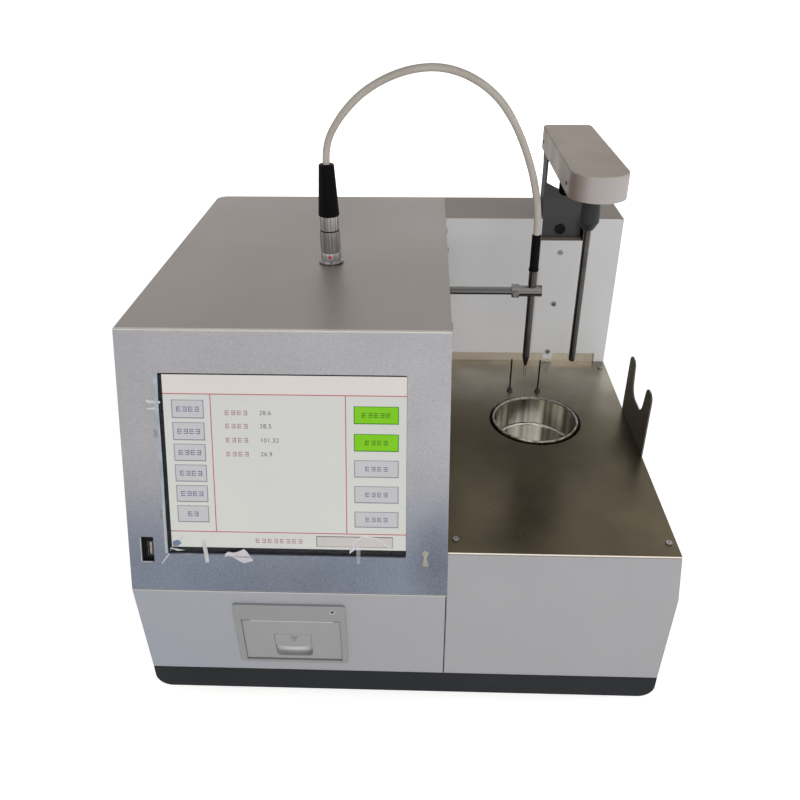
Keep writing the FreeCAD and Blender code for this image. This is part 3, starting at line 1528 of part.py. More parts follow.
def tube_along(points, radius):
    """Round tube along straight runs joined by tangent arcs; prints arc radii and volume."""
    edges = []
    radii = []
    start = points[0]
    for before, here, after in zip(points, points[1:], points[2:]):
        came = here - before
        goes = after - here
        shorter = min(came.Length, goes.Length)
        half_turn = came.getAngle(goes) / 2
        reach = arc_share * shorter
        radii.append(reach / math.tan(half_turn))
        came.normalize()
        goes.normalize()
        inward = (goes - came).normalize()
        middle = here + inward * (radii[-1] / math.cos(half_turn) - radii[-1])
        end = here + goes * reach
        edges.append(Part.LineSegment(start, here - came * reach).toShape())
        edges.append(Part.Arc(here - came * reach, middle, end).toShape())
        start = end
    edges.append(Part.LineSegment(start, points[-1]).toShape())
    path = Part.Wire(edges)
    section = Part.Wire([Part.Circle(points[0], points[1] - points[0], radius).toShape()])
    tube = path.makePipeShell([section], True, False)
    print("cable length %.1f, arc radii" % path.Length, [round(r, 1) for r in radii])
    expected = math.pi * radius ** 2 * path.Length
    print("cable volume %.1f, section times length %.1f" % (tube.Volume, expected))
    return tube


def cable_route():
    """Corners of the cable's path: up out of the boot, over in an arch, and down to the igniter."""
    start = V(plug_x, plug_y, boot_low_z + boot_h)
    end = V(igniter_x, igniter_y, sleeve_top_z)
    span = igniter_x - plug_x
    route = [start, start + UP * cable_plug_lead]
    for across, rise in cable_shares:
        y = plug_y + (igniter_y - plug_y) * across
        route.append(V(plug_x + span * across, y, start.z + span * rise))
    return route + [end + UP * cable_probe_lead, end]


def sensor_cable():
    """Pale cable that arches from the plug to the igniter."""
    return tube_along(cable_route(), cable_r)


def tongs_fork():
    """Dark fork plate on the right side: two prongs beside a round notch, and a skirt with two screws."""
    tip_z = deck_z + fork_tip_rise
    notch_z = deck_z + fork_notch_rise
    skirt_z = deck_z - fork_skirt
    half = [
        (fork_half_base, skirt_z, fork_corner_r),
        (fork_half_base, deck_z, 0),
        (fork_half_top, tip_z, fork_prong_r),
        (fork_mouth_half, tip_z, fork_prong_r),
        (fork_notch_half, notch_z, fork_notch_r),
    ]
    outline = half + [(-y, z, r) for y, z, r in reversed(half)]
    points = [(fork_y + y, z) for y, z, r in outline]
    radii = [r for y, z, r in outline]
    fork = plate("yz", points, radii, body_width, body_width + fork_t)
    for side in (-1, 1):
        hole = V(body_width, fork_y + side * fork_hole_half_pitch, tip_z - fork_hole_drop)
        fork = fork.cut(rod(fork_hole_r, fork_t, RIGHT, hole))
    return screw_holes(fork, fork_screw_places, RIGHT)


def panel_screws():
    """Pan-head screws of the deck, strip cover, inner wall, fork plate and rear panel."""
    screws = [screw(UP, place) for place in deck_screw_places]
    screws += [screw(-BACK, place, length=strip_screw_length) for place in strip_screw_places]
    screws += [screw(RIGHT, place) for place in side_screw_places]
    screws += [screw(RIGHT, place) for place in fork_screw_places]
    screws += [screw(BACK, place) for place in rear_screw_places]
    return group(screws)


def vents(left, top):
    """Cutter for a stack of long round-ended air slots in the rear panel."""
    slots = []
    for i in range(vent_count):
        z1 = top - i * vent_pitch
        outline = rect(left, z1 - vent_width, left + vent_length, z1)
        end_r = vent_width / 2 - round_gap
        slots.append(plate("xz", outline, end_r, panel_inner_y, body_depth))
    return group(slots)


def grille():
    """Cutter for the ring slots in front of the fan."""
    slots = []
    for i in range(grille_rings):
        inner = fan_hub_r - grille_web + i * (grille_slot + grille_web)
        slots.append(ring(inner + grille_slot, inner, sheet, BACK, V(fan_x, panel_inner_y, fan_z)))
    cutter = group(slots)
    half = grille_spoke / 2
    for turn in (0, 90):
        bar = box(-fan_side, 0, -half, fan_side, sheet, half)
        bar.rotate(V(0, 0, 0), BACK, turn)
        bar.translate(V(fan_x, panel_inner_y, fan_z))
        cutter = cutter.cut(bar)
    return cutter


def rear_panel():
    """Flat sheet behind the control unit and the column, with vents, fan grille and supply cut-outs."""
    low = pan_top
    high = top_z - sheet
    panel = box(rear_corner_r, panel_inner_y, low, body_width - rear_corner_r, body_depth, high)
    panel = panel.cut(vents(vent_from_left, top_z - vent_top_drop))
    panel = panel.cut(vents(body_width - vent_from_right - vent_length, top_z - vent_top_drop))
    panel = panel.cut(grille())
    half_w = inlet_body_width / 2 + seam
    half_h = inlet_body_height / 2 + seam
    panel = panel.cut(box(inlet_x - half_w, panel_inner_y, inlet_z - half_h,
                          inlet_x + half_w, body_depth, inlet_z + half_h))
    half_w = switch_width / 2 - switch_wall / 2
    half_h = switch_height / 2 - switch_wall / 2
    panel = panel.cut(box(switch_x - half_w, panel_inner_y, inlet_z - half_h,
                          switch_x + half_w, body_depth, inlet_z + half_h))
    return screw_holes(panel, rear_screw_places, BACK)


def mains_inlet():
    """Three-pole appliance inlet in the rear panel, with its cavity and three blades."""
    flange_outline = rect(inlet_x - inlet_width / 2, inlet_z - inlet_height / 2,
                          inlet_x + inlet_width / 2, inlet_z + inlet_height / 2)
    flange = plate("xz", flange_outline, inlet_proud, body_depth, body_depth + inlet_proud)
    half_w = inlet_body_width / 2
    half_h = inlet_body_height / 2
    body = box(inlet_x - half_w, body_depth - inlet_body_depth, inlet_z - half_h,
               inlet_x + half_w, body_depth, inlet_z + half_h)
    left = inlet_x - inlet_cavity_width / 2
    right = inlet_x + inlet_cavity_width / 2
    low = inlet_z - inlet_cavity_height / 2
    high = inlet_z + inlet_cavity_height / 2
    outline = [
        (left, low), (right, low), (right, high - inlet_chamfer), (right - inlet_chamfer, high),
        (left + inlet_chamfer, high), (left, high - inlet_chamfer),
    ]
    floor_y = body_depth + inlet_proud - inlet_cavity_depth
    cavity = plate("xz", outline, 0, floor_y, body_depth + inlet_proud)
    parts = [joined(flange, body).cut(cavity)]
    blades = ((-blade_pitch, -blade_offset), (0, blade_offset), (blade_pitch, -blade_offset))
    for dx, dz in blades:
        x0 = inlet_x + dx - blade_width / 2
        z0 = inlet_z + dz - blade_height / 2
        parts.append(box(x0, floor_y, z0, x0 + blade_width, floor_y + blade_length, z0 + blade_height))
    return joined(*parts)


def switch_frame():
    """Frame of the mains switch in the rear panel, with the two stubs its rocker turns on."""
    outer = rect(switch_x - switch_width / 2, inlet_z - switch_height / 2,
                 switch_x + switch_width / 2, inlet_z + switch_height / 2)
    frame = plate("xz", outer, switch_wall / 2, body_depth, body_depth + switch_proud)
    neck = inset_outline(outer, [switch_wall / 2 + seam] * 4)
    body = plate("xz", neck, 0, body_depth - switch_body_depth, body_depth)
    hollow = inset_outline(outer, [switch_wall] * 4)
    case = joined(frame, body)
    floor_y = body_depth - switch_body_depth + switch_wall
    case = case.cut(plate("xz", hollow, 0, floor_y, body_depth + overrun))
    axle_y = body_depth - rocker_axle_depth
    axle = rod(rocker_axle_r, switch_width - switch_wall, RIGHT,
               V(switch_x - switch_width / 2 + switch_wall / 2, axle_y, inlet_z))
    return joined(case, axle)


def power_rocker():
    """Rocker of the mains switch, hollow below its bowed face and pivoted on the axle."""
    half_w = switch_width / 2 - switch_wall - rocker_gap
    half_h = switch_height / 2 - switch_wall - rocker_end_gap
    axle_y = body_depth - rocker_axle_depth
    face_y = body_depth + switch_proud - rocker_gap
    low = V(switch_x - half_w, face_y, inlet_z - half_h)
    high = V(switch_x - half_w, face_y, inlet_z + half_h)
    dip = V(switch_x - half_w, body_depth, inlet_z)
    foot_high = V(switch_x - half_w, axle_y - rocker_axle_r - switch_wall / 2, inlet_z + 2 * rocker_axle_r)
    foot_low = V(switch_x - half_w, axle_y - rocker_axle_r - switch_wall / 2, inlet_z - 2 * rocker_axle_r)
    edges = [
        Part.Arc(low, dip, high).toShape(),
        Part.LineSegment(high, foot_high).toShape(),
        Part.LineSegment(foot_high, foot_low).toShape(),
        Part.LineSegment(foot_low, low).toShape(),
    ]
    rocker = Part.Face(Part.Wire(edges)).extrude(RIGHT * 2 * half_w)
    hole_foot = V(switch_x - switch_width / 2, axle_y, inlet_z)
    hole = rod(rocker_axle_r + rocker_fit, switch_width, RIGHT, hole_foot)
    rocker = rocker.cut(hole)
    rocker.rotate(V(switch_x, axle_y, inlet_z), RIGHT, -rocker_tilt)
    return rocker


def cooling_fan():
    """Square frame of the rear fan, with a strut and the axle that its rotor turns on."""
    half = fan_side / 2
    y0 = panel_inner_y - fan_depth
    outline = rect(fan_x - half, fan_z - half, fan_x + half, fan_z + half)
    frame = plate("xz", outline, fan_corner_r, y0, panel_inner_y)
    frame = frame.cut(rod(fan_bore_r, fan_depth, BACK, V(fan_x, y0, fan_z)))
    strut_w = fan_strut_width / 2
    reach = half - fan_corner_r
    strut = box(fan_x - reach, y0, fan_z - strut_w, fan_x + reach, y0 + fan_strut_t, fan_z + strut_w)
    cup = rod(fan_hub_r, fan_strut_t, BACK, V(fan_x, y0, fan_z))
    axle = rod(fan_axle_r, fan_depth - fan_strut_t, BACK, V(fan_x, y0, fan_z))
    return joined(frame, strut, cup, axle)


def fan_rotor():
    """Hub and twisted blades of the fan."""
    y0 = panel_inner_y - fan_depth + fan_strut_t + fan_rotor_margin
    y1 = panel_inner_y - fan_rotor_margin
    depth = y1 - y0
    hub = rod(fan_hub_r, depth, BACK, V(fan_x, y0, fan_z))
    parts = [hub]
    for i in range(fan_blade_count):
        root = fan_hub_r - fan_blade_t
        blade = box(root, -fan_blade_t / 2, fan_blade_t, fan_blade_r, fan_blade_t / 2, depth - fan_blade_t)
        middle = V(0, 0, depth / 2)
        blade.rotate(middle, RIGHT, fan_blade_twist)
        blade.rotate(V(0, 0, 0), UP, 360 * i / fan_blade_count)
        parts.append(aimed(blade, BACK, V(fan_x, y0, fan_z)))
    rotor = joined(*parts)
    return rotor.cut(rod(fan_axle_r + fan_fit, depth, BACK, V(fan_x, y0, fan_z)))


def power_supply():
    """Boxed supply unit on the pan floor with air slots in its lid."""
    x1 = supply_from_left + supply_width
    y1 = supply_y0 + supply_length
    z1 = floor_z + supply_height
    case = box(supply_from_left, supply_y0, floor_z, x1, y1, z1)
    margin = (supply_width - supply_vent_length) / 2
    for i in range(supply_vents):
        y = supply_y0 + margin + i * supply_vent_pitch
        case = case.cut(box(supply_from_left + margin, y, z1 - supply_skin,
                            x1 - margin, y + supply_vent_width, z1 + overrun))
    return case


def control_board():
    """Control board on four spacers, with a finned heat sink and two terminal rows."""
    z0 = floor_z + board_stand
    z1 = z0 + board_t
    x1 = board_from_left + board_width
    y1 = board_y0 + board_length
    parts = [box(board_from_left, board_y0, z0, x1, y1, z1)]
    for x in (board_from_left + board_inset, x1 - board_inset):
        for y in (board_y0 + board_inset, y1 - board_inset):
            parts.append(rod(board_stand_r, board_stand, UP, V(x, y, floor_z)))
    sink_x = board_from_left + board_width / 2
    sink_y = board_y0 + (board_length - sink_length) / 2
    sink_w = (sink_fins - 1) * sink_fin_pitch + sink_fin_t
    parts.append(box(sink_x, sink_y, z1, sink_x + sink_w, sink_y + sink_length, z1 + sink_base))
    for i in range(sink_fins):
        x = sink_x + i * sink_fin_pitch
        parts.append(box(x, sink_y, z1, x + sink_fin_t, sink_y + sink_length, z1 + sink_height))
    for x in (board_from_left + 2 * board_inset, x1 - 2 * board_inset - terminal_depth):
        y = board_y0 + (board_length - terminal_length) / 2
        parts.append(box(x, y, z1, x + terminal_depth, y + terminal_length, z1 + terminal_height))
    return joined(*parts)


NODES = {
    "base_pan": base_pan,
    "rubber_feet": rubber_feet,
    "control_cover": control_cover,
    "work_cover": work_cover,
    "column_cover": column_cover,
    "strip_cover": strip_cover,
    "rear_panel": rear_panel,
    "screen_bezel": screen_bezel,
    "touch_glass": touch_glass,
    "display_module": display_module,
    "usb_socket": usb_socket,
    "lower_panel": lower_panel,
    "deck_plate": deck_plate,
    "test_cup": test_cup,
    "heater_block": heater_block,
    "heater_band": heater_band,
    "insulation_ring": insulation_ring,
    "heater_stand": heater_stand,
    "electrode_pins": electrode_pins,
    "pin_bushes": pin_bushes,
    "lift_frame": lift_frame,
    "lift_motor": lift_motor,
    "lead_screw": lead_screw,
    "guide_rods": guide_rods,
    "carriage_block": carriage_block,
    "lift_bracket": lift_bracket,
    "arm_housing": arm_housing,
    "arm_plate": arm_plate,
    "head_screws": head_screws,
    "sensor_conduit": sensor_conduit,
    "rod_collet": rod_collet,
    "thermometer_rod": thermometer_rod,
    "swing_motor": swing_motor,
    "wall_bush": wall_bush,
    "igniter_arm": igniter_arm,
    "rod_clamp": rod_clamp,
    "clamp_screw": clamp_screw,
    "igniter_probe": igniter_probe,
    "probe_sleeve": probe_sleeve,
    "igniter_wire": igniter_wire,
    "panel_socket": panel_socket,
    "cable_plug": cable_plug,
    "plug_boot": plug_boot,
    "sensor_cable": sensor_cable,
    "tongs_fork": tongs_fork,
    "printer_bezel": printer_bezel,
    "status_lamp": status_lamp,
    "printer_door": printer_door,
    "printer_latch": printer_latch,
    "platen_roller": platen_roller,
    "printer_tray": printer_tray,
    "paper_roll": paper_roll,
    "mains_inlet": mains_inlet,
    "switch_frame": switch_frame,
    "power_rocker": power_rocker,
    "cooling_fan": cooling_fan,
    "fan_rotor": fan_rotor,
    "power_supply": power_supply,
    "control_board": control_board,
    "panel_screws": panel_screws,
}


def main():
    """Builds every piece, moves it to the instrument's own origin and writes it."""
    os.makedirs("parts", exist_ok=True)
    for name, build in NODES.items():
        shape = build().copy()
        shape.translate(-origin)
        if not shape.isValid():
            print("not valid:", name)
        shape.exportStep("parts/%s.step" % name)
    print(len(NODES), "pieces written")


main()
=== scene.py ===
"""Looks of a bench flash point tester: its finishes, cable, screen page and small details."""

import logging
import math
from contextlib import contextmanager
from dataclasses import dataclass, field
from enum import Enum
from typing import Callable, Iterator

import bmesh
import bpy
from mathutils import Matrix, Vector

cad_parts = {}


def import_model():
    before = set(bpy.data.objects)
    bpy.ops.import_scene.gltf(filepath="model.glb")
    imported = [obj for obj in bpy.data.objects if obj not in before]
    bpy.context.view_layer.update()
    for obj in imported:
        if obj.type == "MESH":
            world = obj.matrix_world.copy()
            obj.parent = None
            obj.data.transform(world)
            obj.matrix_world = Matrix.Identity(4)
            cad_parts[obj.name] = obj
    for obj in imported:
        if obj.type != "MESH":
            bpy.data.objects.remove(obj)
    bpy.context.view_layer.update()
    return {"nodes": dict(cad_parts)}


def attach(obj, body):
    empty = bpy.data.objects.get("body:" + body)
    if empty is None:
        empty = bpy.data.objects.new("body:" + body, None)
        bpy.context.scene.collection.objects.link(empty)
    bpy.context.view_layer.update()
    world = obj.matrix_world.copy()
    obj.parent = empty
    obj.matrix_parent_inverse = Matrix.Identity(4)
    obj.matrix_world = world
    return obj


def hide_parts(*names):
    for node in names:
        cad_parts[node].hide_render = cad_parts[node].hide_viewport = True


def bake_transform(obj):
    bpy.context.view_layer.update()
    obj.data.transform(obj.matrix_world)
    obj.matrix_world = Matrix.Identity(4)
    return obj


LOG = logging.getLogger("tester")
MM = 0.001

Triple = tuple[float, float, float]
Pair = tuple[float, float]
Outline = tuple[Pair, ...]
Rgba = tuple[float, float, float, float]
Term = bpy.types.NodeSocket | float
FaceTest = Callable[[bmesh.types.BMFace], bool]

# The bench frame's zero is the left front foot line; the row frame's is under the middle of the footprint
ROW_X = 247.55
ROW_Y = 230.558

# Leaning screen front and lower front, as in the part's source
PAN_TOP = 39.7
TOE_IN = 4.4
APRON_LENGTH = 108.1
SLOPE_LENGTH = 238.0
TOP_SETBACK = 74.9
LEAN = math.asin(TOP_SETBACK / SLOPE_LENGTH)
TILT = math.asin(TOE_IN / APRON_LENGTH)
FOLD_Z = PAN_TOP + APRON_LENGTH * math.cos(TILT)
TOP_Z = FOLD_Z + SLOPE_LENGTH * math.cos(LEAN)
DECK_Z = 187.2
COLUMN_FRONT = 375.7

# A lit page mirrors little, so its dark colours stay deep
LIT_SPECULAR = 0.1

# Curve of a common screen: straight near black and a power above it
CURVE_JOINT = 0.04045
CURVE_SLOPE = 12.92
CURVE_SHIFT = 0.055
CURVE_POWER = 2.4

# A grain's slow tone: its rate against the fine height's, and how bright its darkest part is
TONE_RATE = 0.22
GRAIN_SHADE = 0.6

# Edges, painted as wear and as a highlight: how finely they are rounded, and how often to a metre the mask is
# broken
EDGE_SAMPLES = 6
BREAK_RATE = 140.0

WHITE = (1.0, 1.0, 1.0, 1.0)
BLACK = (0.0, 0.0, 0.0, 1.0)


def bench(x: float, y: float, z: float) -> Vector:
    """Turns a place in bench millimetres into the row frame.

    Args:
        x: Distance from the left side.
        y: Distance behind the front fold.
        z: Height above the bench.

    Returns:
        The place in metres.
    """
    return Vector((x - ROW_X, y - ROW_Y, z)) * MM


def screen_colour(red: float, green: float, blue: float) -> Rgba:
    """Turns a colour as seen on a screen into the linear colour that shaders take.

    Args:
        red: Its red, 0 to 255.
        green: Its green.
        blue: Its blue.

    Returns:
        The linear colour, with full alpha.
    """
    shares = [channel / 255 for channel in (red, green, blue)]
    linear = [
        s / CURVE_SLOPE if s <= CURVE_JOINT else ((s + CURVE_SHIFT) / (1.0 + CURVE_SHIFT)) ** CURVE_POWER
        for s in shares
    ]
    return (linear[0], linear[1], linear[2], 1.0)


class Group(Enum):
    """Shader node groups that several finishes share."""

    GRAIN = "surface_grain"
    CLOUDS = "soft_clouds"
    EDGES = "edge_wear_and_highlight"
    FADE = "slow_fade"
    SPOT = "soft_spot"
    UPRIGHT = "upright_faces"
    FACING = "faces_one_way"
    BANDS = "painted_reflection_bands"


class Side(Enum):
    """The way a sheet's face looks."""

    UP = (0, 0, 1)
    FRONT = (0, -1, 0)
    RIGHT = (1, 0, 0)
    BACK = (0, 1, 0)


class Axis(Enum):
    """Long axis of a turned piece, given by the two directions across it."""

    X = (0.0, 1.0, 1.0)
    Z = (1.0, 1.0, 0.0)


@dataclass
class NodeBench:
    """Adds and links nodes in one tree."""

    tree: bpy.types.NodeTree

    def add(self, kind: str, operation: str | None = None) -> bpy.types.Node:
        """Adds a node, with its operation where it has one.

        Args:
            kind: The node's type.
            operation: What it works out, where it has a choice.

        Returns:
            The node.
        """
        node = self.tree.nodes.new(kind)
        if operation is not None:
            node.operation = operation
        return node

    def feed(self, socket: bpy.types.NodeSocket, term: Term | Triple) -> None:
        """Links a socket to another one, or gives it a plain value.

        Args:
            socket: The input.
            term: The other socket, or the value.
        """
        if isinstance(term, bpy.types.NodeSocket):
            self.tree.links.new(term, socket)
        else:
            socket.default_value = term

    def sum(self, operation: str, first: Term, second: Term) -> bpy.types.NodeSocket:
        """Works out one number from two.

        Args:
            operation: What is worked out.
            first: The first number.
            second: The second number.

        Returns:
            The socket with the result.
        """
        node = self.add("ShaderNodeMath", operation)
        self.feed(node.inputs[0], first)
        self.feed(node.inputs[1], second)
        return node.outputs["Value"]

    def vector(self, operation: str, first: Term, second: Term | Triple) -> bpy.types.Node:
        """Adds one step on vectors.

        Args:
            operation: What is worked out.
            first: The first vector.
            second: The second vector.

        Returns:
            The node, which gives a vector or a value.
        """
        node = self.add("ShaderNodeVectorMath", operation)
        self.feed(node.inputs[0], first)
        self.feed(node.inputs[1], second)
        return node

    def noise(self, places: Term, rate: Term, detail: Term) -> bpy.types.NodeSocket:
        """Adds noise over the given places.

        Args:
            places: Where it is read.
            rate: How many patches there are to a metre.
            detail: How many finer layers it has.

        Returns:
            The socket with the noise.
        """
        node = self.add("ShaderNodeTexNoise")
        self.feed(node.inputs["Vector"], places)
        self.feed(node.inputs["Scale"], rate)
        self.feed(node.inputs["Detail"], detail)
        return node.outputs["Fac"]

    def spread(self, value: Term, low: Term, high: Term, soft: bool = False) -> bpy.types.NodeSocket:
        """Spreads low to high over 0 to 1.

        Args:
            value: What is spread.
            low: The value that gives 0.
            high: The value that gives 1.
            soft: Whether both ends are eased.

        Returns:
            The socket with the share.
        """
        node = self.add("ShaderNodeMapRange")
        if soft:
            node.interpolation_type = "SMOOTHSTEP"
        self.feed(node.inputs["Value"], value)
        self.feed(node.inputs["From Min"], low)
        self.feed(node.inputs["From Max"], high)
        return node.outputs["Result"]

    def mix(self, first: Term | Rgba, second: Rgba, mask: Term, share: float) -> bpy.types.NodeSocket:
        """Mixes two colours by a mask that is first weakened to a share.

        Args:
            first: The colour where the mask is 0.
            second: The colour where it is 1.
            mask: The mask.
            share: How strong the second colour gets.

        Returns:
            The socket with the mixed colour.
        """
        node = self.add("ShaderNodeMix")
        node.data_type = "RGBA"
        self.feed(node.inputs["Factor"], self.sum("MULTIPLY", mask, share))
        self.feed(node.inputs["A"], first)
        self.feed(node.inputs["B"], second)
        return node.outputs["Result"]


class ShaderGroups:
    """Builds each shared node group once."""

    def __init__(self) -> None:
        """Builds them all."""
        self.trees: dict[Group, bpy.types.NodeTree] = {}
        self._grain()
        self._clouds()
        self._edges()
        self._fade()
        self._spot()
        self._upright()
        self._facing()
        self._bands()

    def _start(self, group: Group, inputs: dict[str, float | None],
               outputs: tuple[str, ...]) -> tuple[NodeBench, bpy.types.Node, bpy.types.Node]:
        """Makes an empty group with named sockets.

        Args:
            group: Which group it is.
            inputs: A number for each float socket, and None for each vector, by name.
            outputs: Names of the outputs; one called Normal is a vector.

        Returns:
            The tree's bench, with its input and output nodes.
        """
        tree = bpy.data.node_groups.new(group.value, "ShaderNodeTree")
        for label, default in inputs.items():
            kind = "NodeSocketVector" if default is None else "NodeSocketFloat"
            socket = tree.interface.new_socket(name=label, in_out="INPUT", socket_type=kind)
            if default is not None:
                socket.default_value = default
        for label in outputs:
            kind = "NodeSocketVector" if label == "Normal" else "NodeSocketFloat"
            tree.interface.new_socket(name=label, in_out="OUTPUT", socket_type=kind)
        self.trees[group] = tree
        nodes = NodeBench(tree)
        return nodes, nodes.add("NodeGroupInput"), nodes.add("NodeGroupOutput")

    def _grain(self) -> None:
        """Stretched noise: fine lines, pebbles or fibres, as a height and a slow tone."""
        inputs = {"Vector": None, "Stretch": None, "Size": 0.001, "Detail": 3.0}
        nodes, given, out = self._start(Group.GRAIN, inputs, ("Height", "Tone"))
        stretched = nodes.vector("MULTIPLY", given.outputs["Vector"], given.outputs["Stretch"])
        places = stretched.outputs["Vector"]
        rate = nodes.sum("DIVIDE", 1.0, given.outputs["Size"])
        slower = nodes.sum("MULTIPLY", rate, TONE_RATE)
        nodes.feed(out.inputs["Height"], nodes.noise(places, rate, given.outputs["Detail"]))
        nodes.feed(out.inputs["Tone"], nodes.noise(places, slower, detail=2.0))

    def _clouds(self) -> None:
        """Large soft patches, for handling marks and uneven polish."""
        nodes, given, out = self._start(Group.CLOUDS, {"Vector": None, "Size": 0.1}, ("Mask",))
        rate = nodes.sum("DIVIDE", 1.0, given.outputs["Size"])
        patches = nodes.noise(given.outputs["Vector"], rate, detail=4.0)
        nodes.feed(out.inputs["Mask"], nodes.spread(patches, low=0.3, high=0.7))

    def _edges(self) -> None:
        """Softened corners: a rounded normal, and a mask that is 1 along edges, where finishes paint wear and
        a highlight.
        """
        nodes, given, out = self._start(Group.EDGES, {"Radius": 0.0004, "Vector": None}, ("Normal", "Mask"))
        rounded = nodes.add("ShaderNodeBevel")
        rounded.samples = EDGE_SAMPLES
        nodes.feed(rounded.inputs["Radius"], given.outputs["Radius"])
        plain = nodes.add("ShaderNodeNewGeometry")
        turned = nodes.vector("DOT_PRODUCT", rounded.outputs["Normal"], plain.outputs["Normal"])
        wear_and_highlight = nodes.spread(turned.outputs["Value"], low=0.985, high=0.8)
        broken = nodes.noise(given.outputs["Vector"], BREAK_RATE, detail=2.0)
        nodes.feed(out.inputs["Normal"], rounded.outputs["Normal"])
        nodes.feed(out.inputs["Mask"], nodes.sum("MULTIPLY", wear_and_highlight, broken))

    def _fade(self) -> None:
        """Slow change along one direction, from nothing to full."""
        inputs = {"Vector": None, "Direction": None, "Nothing": 0.0, "Full": 1.0}
        nodes, given, out = self._start(Group.FADE, inputs, ("Mask",))
        along = nodes.vector("DOT_PRODUCT", given.outputs["Vector"], given.outputs["Direction"])
        value = along.outputs["Value"]
        mask = nodes.spread(value, given.outputs["Nothing"], given.outputs["Full"], soft=True)
        nodes.feed(out.inputs["Mask"], mask)

    def _spot(self) -> None:
        """Soft round or oval patch about a place."""
        inputs = {"Vector": None, "Middle": None, "Reach": None}
        nodes, given, out = self._start(Group.SPOT, inputs, ("Mask",))
        away = nodes.vector("SUBTRACT", given.outputs["Vector"], given.outputs["Middle"]).outputs["Vector"]
        shares = nodes.vector("DIVIDE", away, given.outputs["Reach"]).outputs["Vector"]
        far = nodes.add("ShaderNodeVectorMath", "LENGTH")
        nodes.feed(far.inputs[0], shares)
        nodes.feed(out.inputs["Mask"], nodes.spread(far.outputs["Value"], low=1.0, high=0.0, soft=True))

    def _upright(self) -> None:
        """Mask that is 1 on upright faces and 0 on level ones."""
        nodes, given, out = self._start(Group.UPRIGHT, {"Facing": None}, ("Mask",))
        up = nodes.vector("DOT_PRODUCT", given.outputs["Facing"], (0.0, 0.0, 1.0))
        level = nodes.add("ShaderNodeMath", "ABSOLUTE")
        nodes.feed(level.inputs[0], up.outputs["Value"])
        nodes.feed(out.inputs["Mask"], nodes.spread(level.outputs["Value"], low=0.85, high=0.4))

    def _facing(self) -> None:
        """Mask that is 1 on the faces that look one way."""
        nodes, given, out = self._start(Group.FACING, {"Facing": None, "Direction": None}, ("Mask",))
        along = nodes.vector("DOT_PRODUCT", given.outputs["Facing"], given.outputs["Direction"])
        nodes.feed(out.inputs["Mask"], nodes.spread(along.outputs["Value"], low=0.4, high=0.9))

    def _bands(self) -> None:
        """Uneven bands that run lengthwise round a turned piece, for painted reflections."""
        inputs = {"Facing": None, "Across": None, "Rate": 3.0}
        nodes, given, out = self._start(Group.BANDS, inputs, ("Mask",))
        round_way = nodes.vector("MULTIPLY", given.outputs["Facing"], given.outputs["Across"])
        bands = nodes.noise(round_way.outputs["Vector"], given.outputs["Rate"], detail=1.0)
        nodes.feed(out.inputs["Mask"], nodes.spread(bands, low=0.38, high=0.62))


@dataclass
class Coat:
    """One material while it is being built: its tree, the shared groups and the object's own places."""

    nodes: NodeBench
    groups: ShaderGroups
    places: bpy.types.NodeSocket
    facing: bpy.types.NodeSocket

    def place(self, group: Group, **values: float | Triple) -> bpy.types.Node:
        """Places one shared group that reads the object's own places.

        Args:
            group: Which group.
            **values: What its other inputs are set to, by name.

        Returns:
            The group's node.
        """
        node = self.nodes.add("ShaderNodeGroup")
        node.node_tree = self.groups.trees[group]
        if "Vector" in node.inputs:
            self.nodes.feed(node.inputs["Vector"], self.places)
        if "Facing" in node.inputs:
            self.nodes.feed(node.inputs["Facing"], self.facing)
        for label, value in values.items():
            node.inputs[label].default_value = value
        return node


@dataclass(frozen=True)
class Layer:
    """Second colour laid over a finish through a mask."""

    colour: Triple
    share: float = 1.0

    def mask(self, coat: Coat) -> bpy.types.NodeSocket:
        """Gives the mask; each kind of layer has its own."""
        raise NotImplementedError


@dataclass(frozen=True)
class Clouds(Layer):
    """Soft patches of a second colour."""

    size: float = 0.12

    def mask(self, coat: Coat) -> bpy.types.NodeSocket:
        """Gives the patches."""
        return coat.place(Group.CLOUDS, Size=self.size).outputs["Mask"]


@dataclass(frozen=True)
class Fade(Layer):
    """Slow change to a second colour along one direction, in metres of the row frame."""

    direction: Triple = (0.0, 0.0, 1.0)
    nothing: float = 0.0
    full: float = 1.0

    def mask(self, coat: Coat) -> bpy.types.NodeSocket:
        """Gives the slow change."""
        node = coat.place(Group.FADE, Direction=self.direction, Nothing=self.nothing, Full=self.full)
        return node.outputs["Mask"]


@dataclass(frozen=True)
class Spot(Layer):
    """Soft patch of a second colour about one place, in metres of the row frame."""

    middle: Triple = (0.0, 0.0, 0.0)
    reach: Triple = (0.1, 0.1, 0.1)

    def mask(self, coat: Coat) -> bpy.types.NodeSocket:
        """Gives the patch."""
        return coat.place(Group.SPOT, Middle=self.middle, Reach=self.reach).outputs["Mask"]


@dataclass(frozen=True)
class UprightShading(Layer):
    """Second colour on the upright faces: painted light and shade, since they are lit otherwise than the
    level ones.
    """

    def mask(self, coat: Coat) -> bpy.types.NodeSocket:
        """Gives the upright faces."""
        return coat.place(Group.UPRIGHT).outputs["Mask"]


@dataclass(frozen=True)
class Facing(Layer):
    """Second colour on the faces that look one way, such as a side painted darker as shade."""

    direction: Triple = (-1.0, 0.0, 0.0)

    def mask(self, coat: Coat) -> bpy.types.NodeSocket:
        """Gives the faces that look that way."""
        return coat.place(Group.FACING, Direction=self.direction).outputs["Mask"]


@dataclass(frozen=True)
class ReflectionBands(Layer):
    """Second colour in bands along a turned piece: painted reflections of light and dark surroundings."""

    axis: Axis = Axis.Z
    rate: float = 3.0

    def mask(self, coat: Coat) -> bpy.types.NodeSocket:
        """Gives the bands."""
        return coat.place(Group.BANDS, Across=self.axis.value, Rate=self.rate).outputs["Mask"]


ROUND = (1.0, 1.0, 1.0)
ALONG_X = (0.02, 1.0, 1.0)
ALONG_Y = (1.0, 0.02, 1.0)
ALONG_Z = (1.0, 1.0, 0.02)


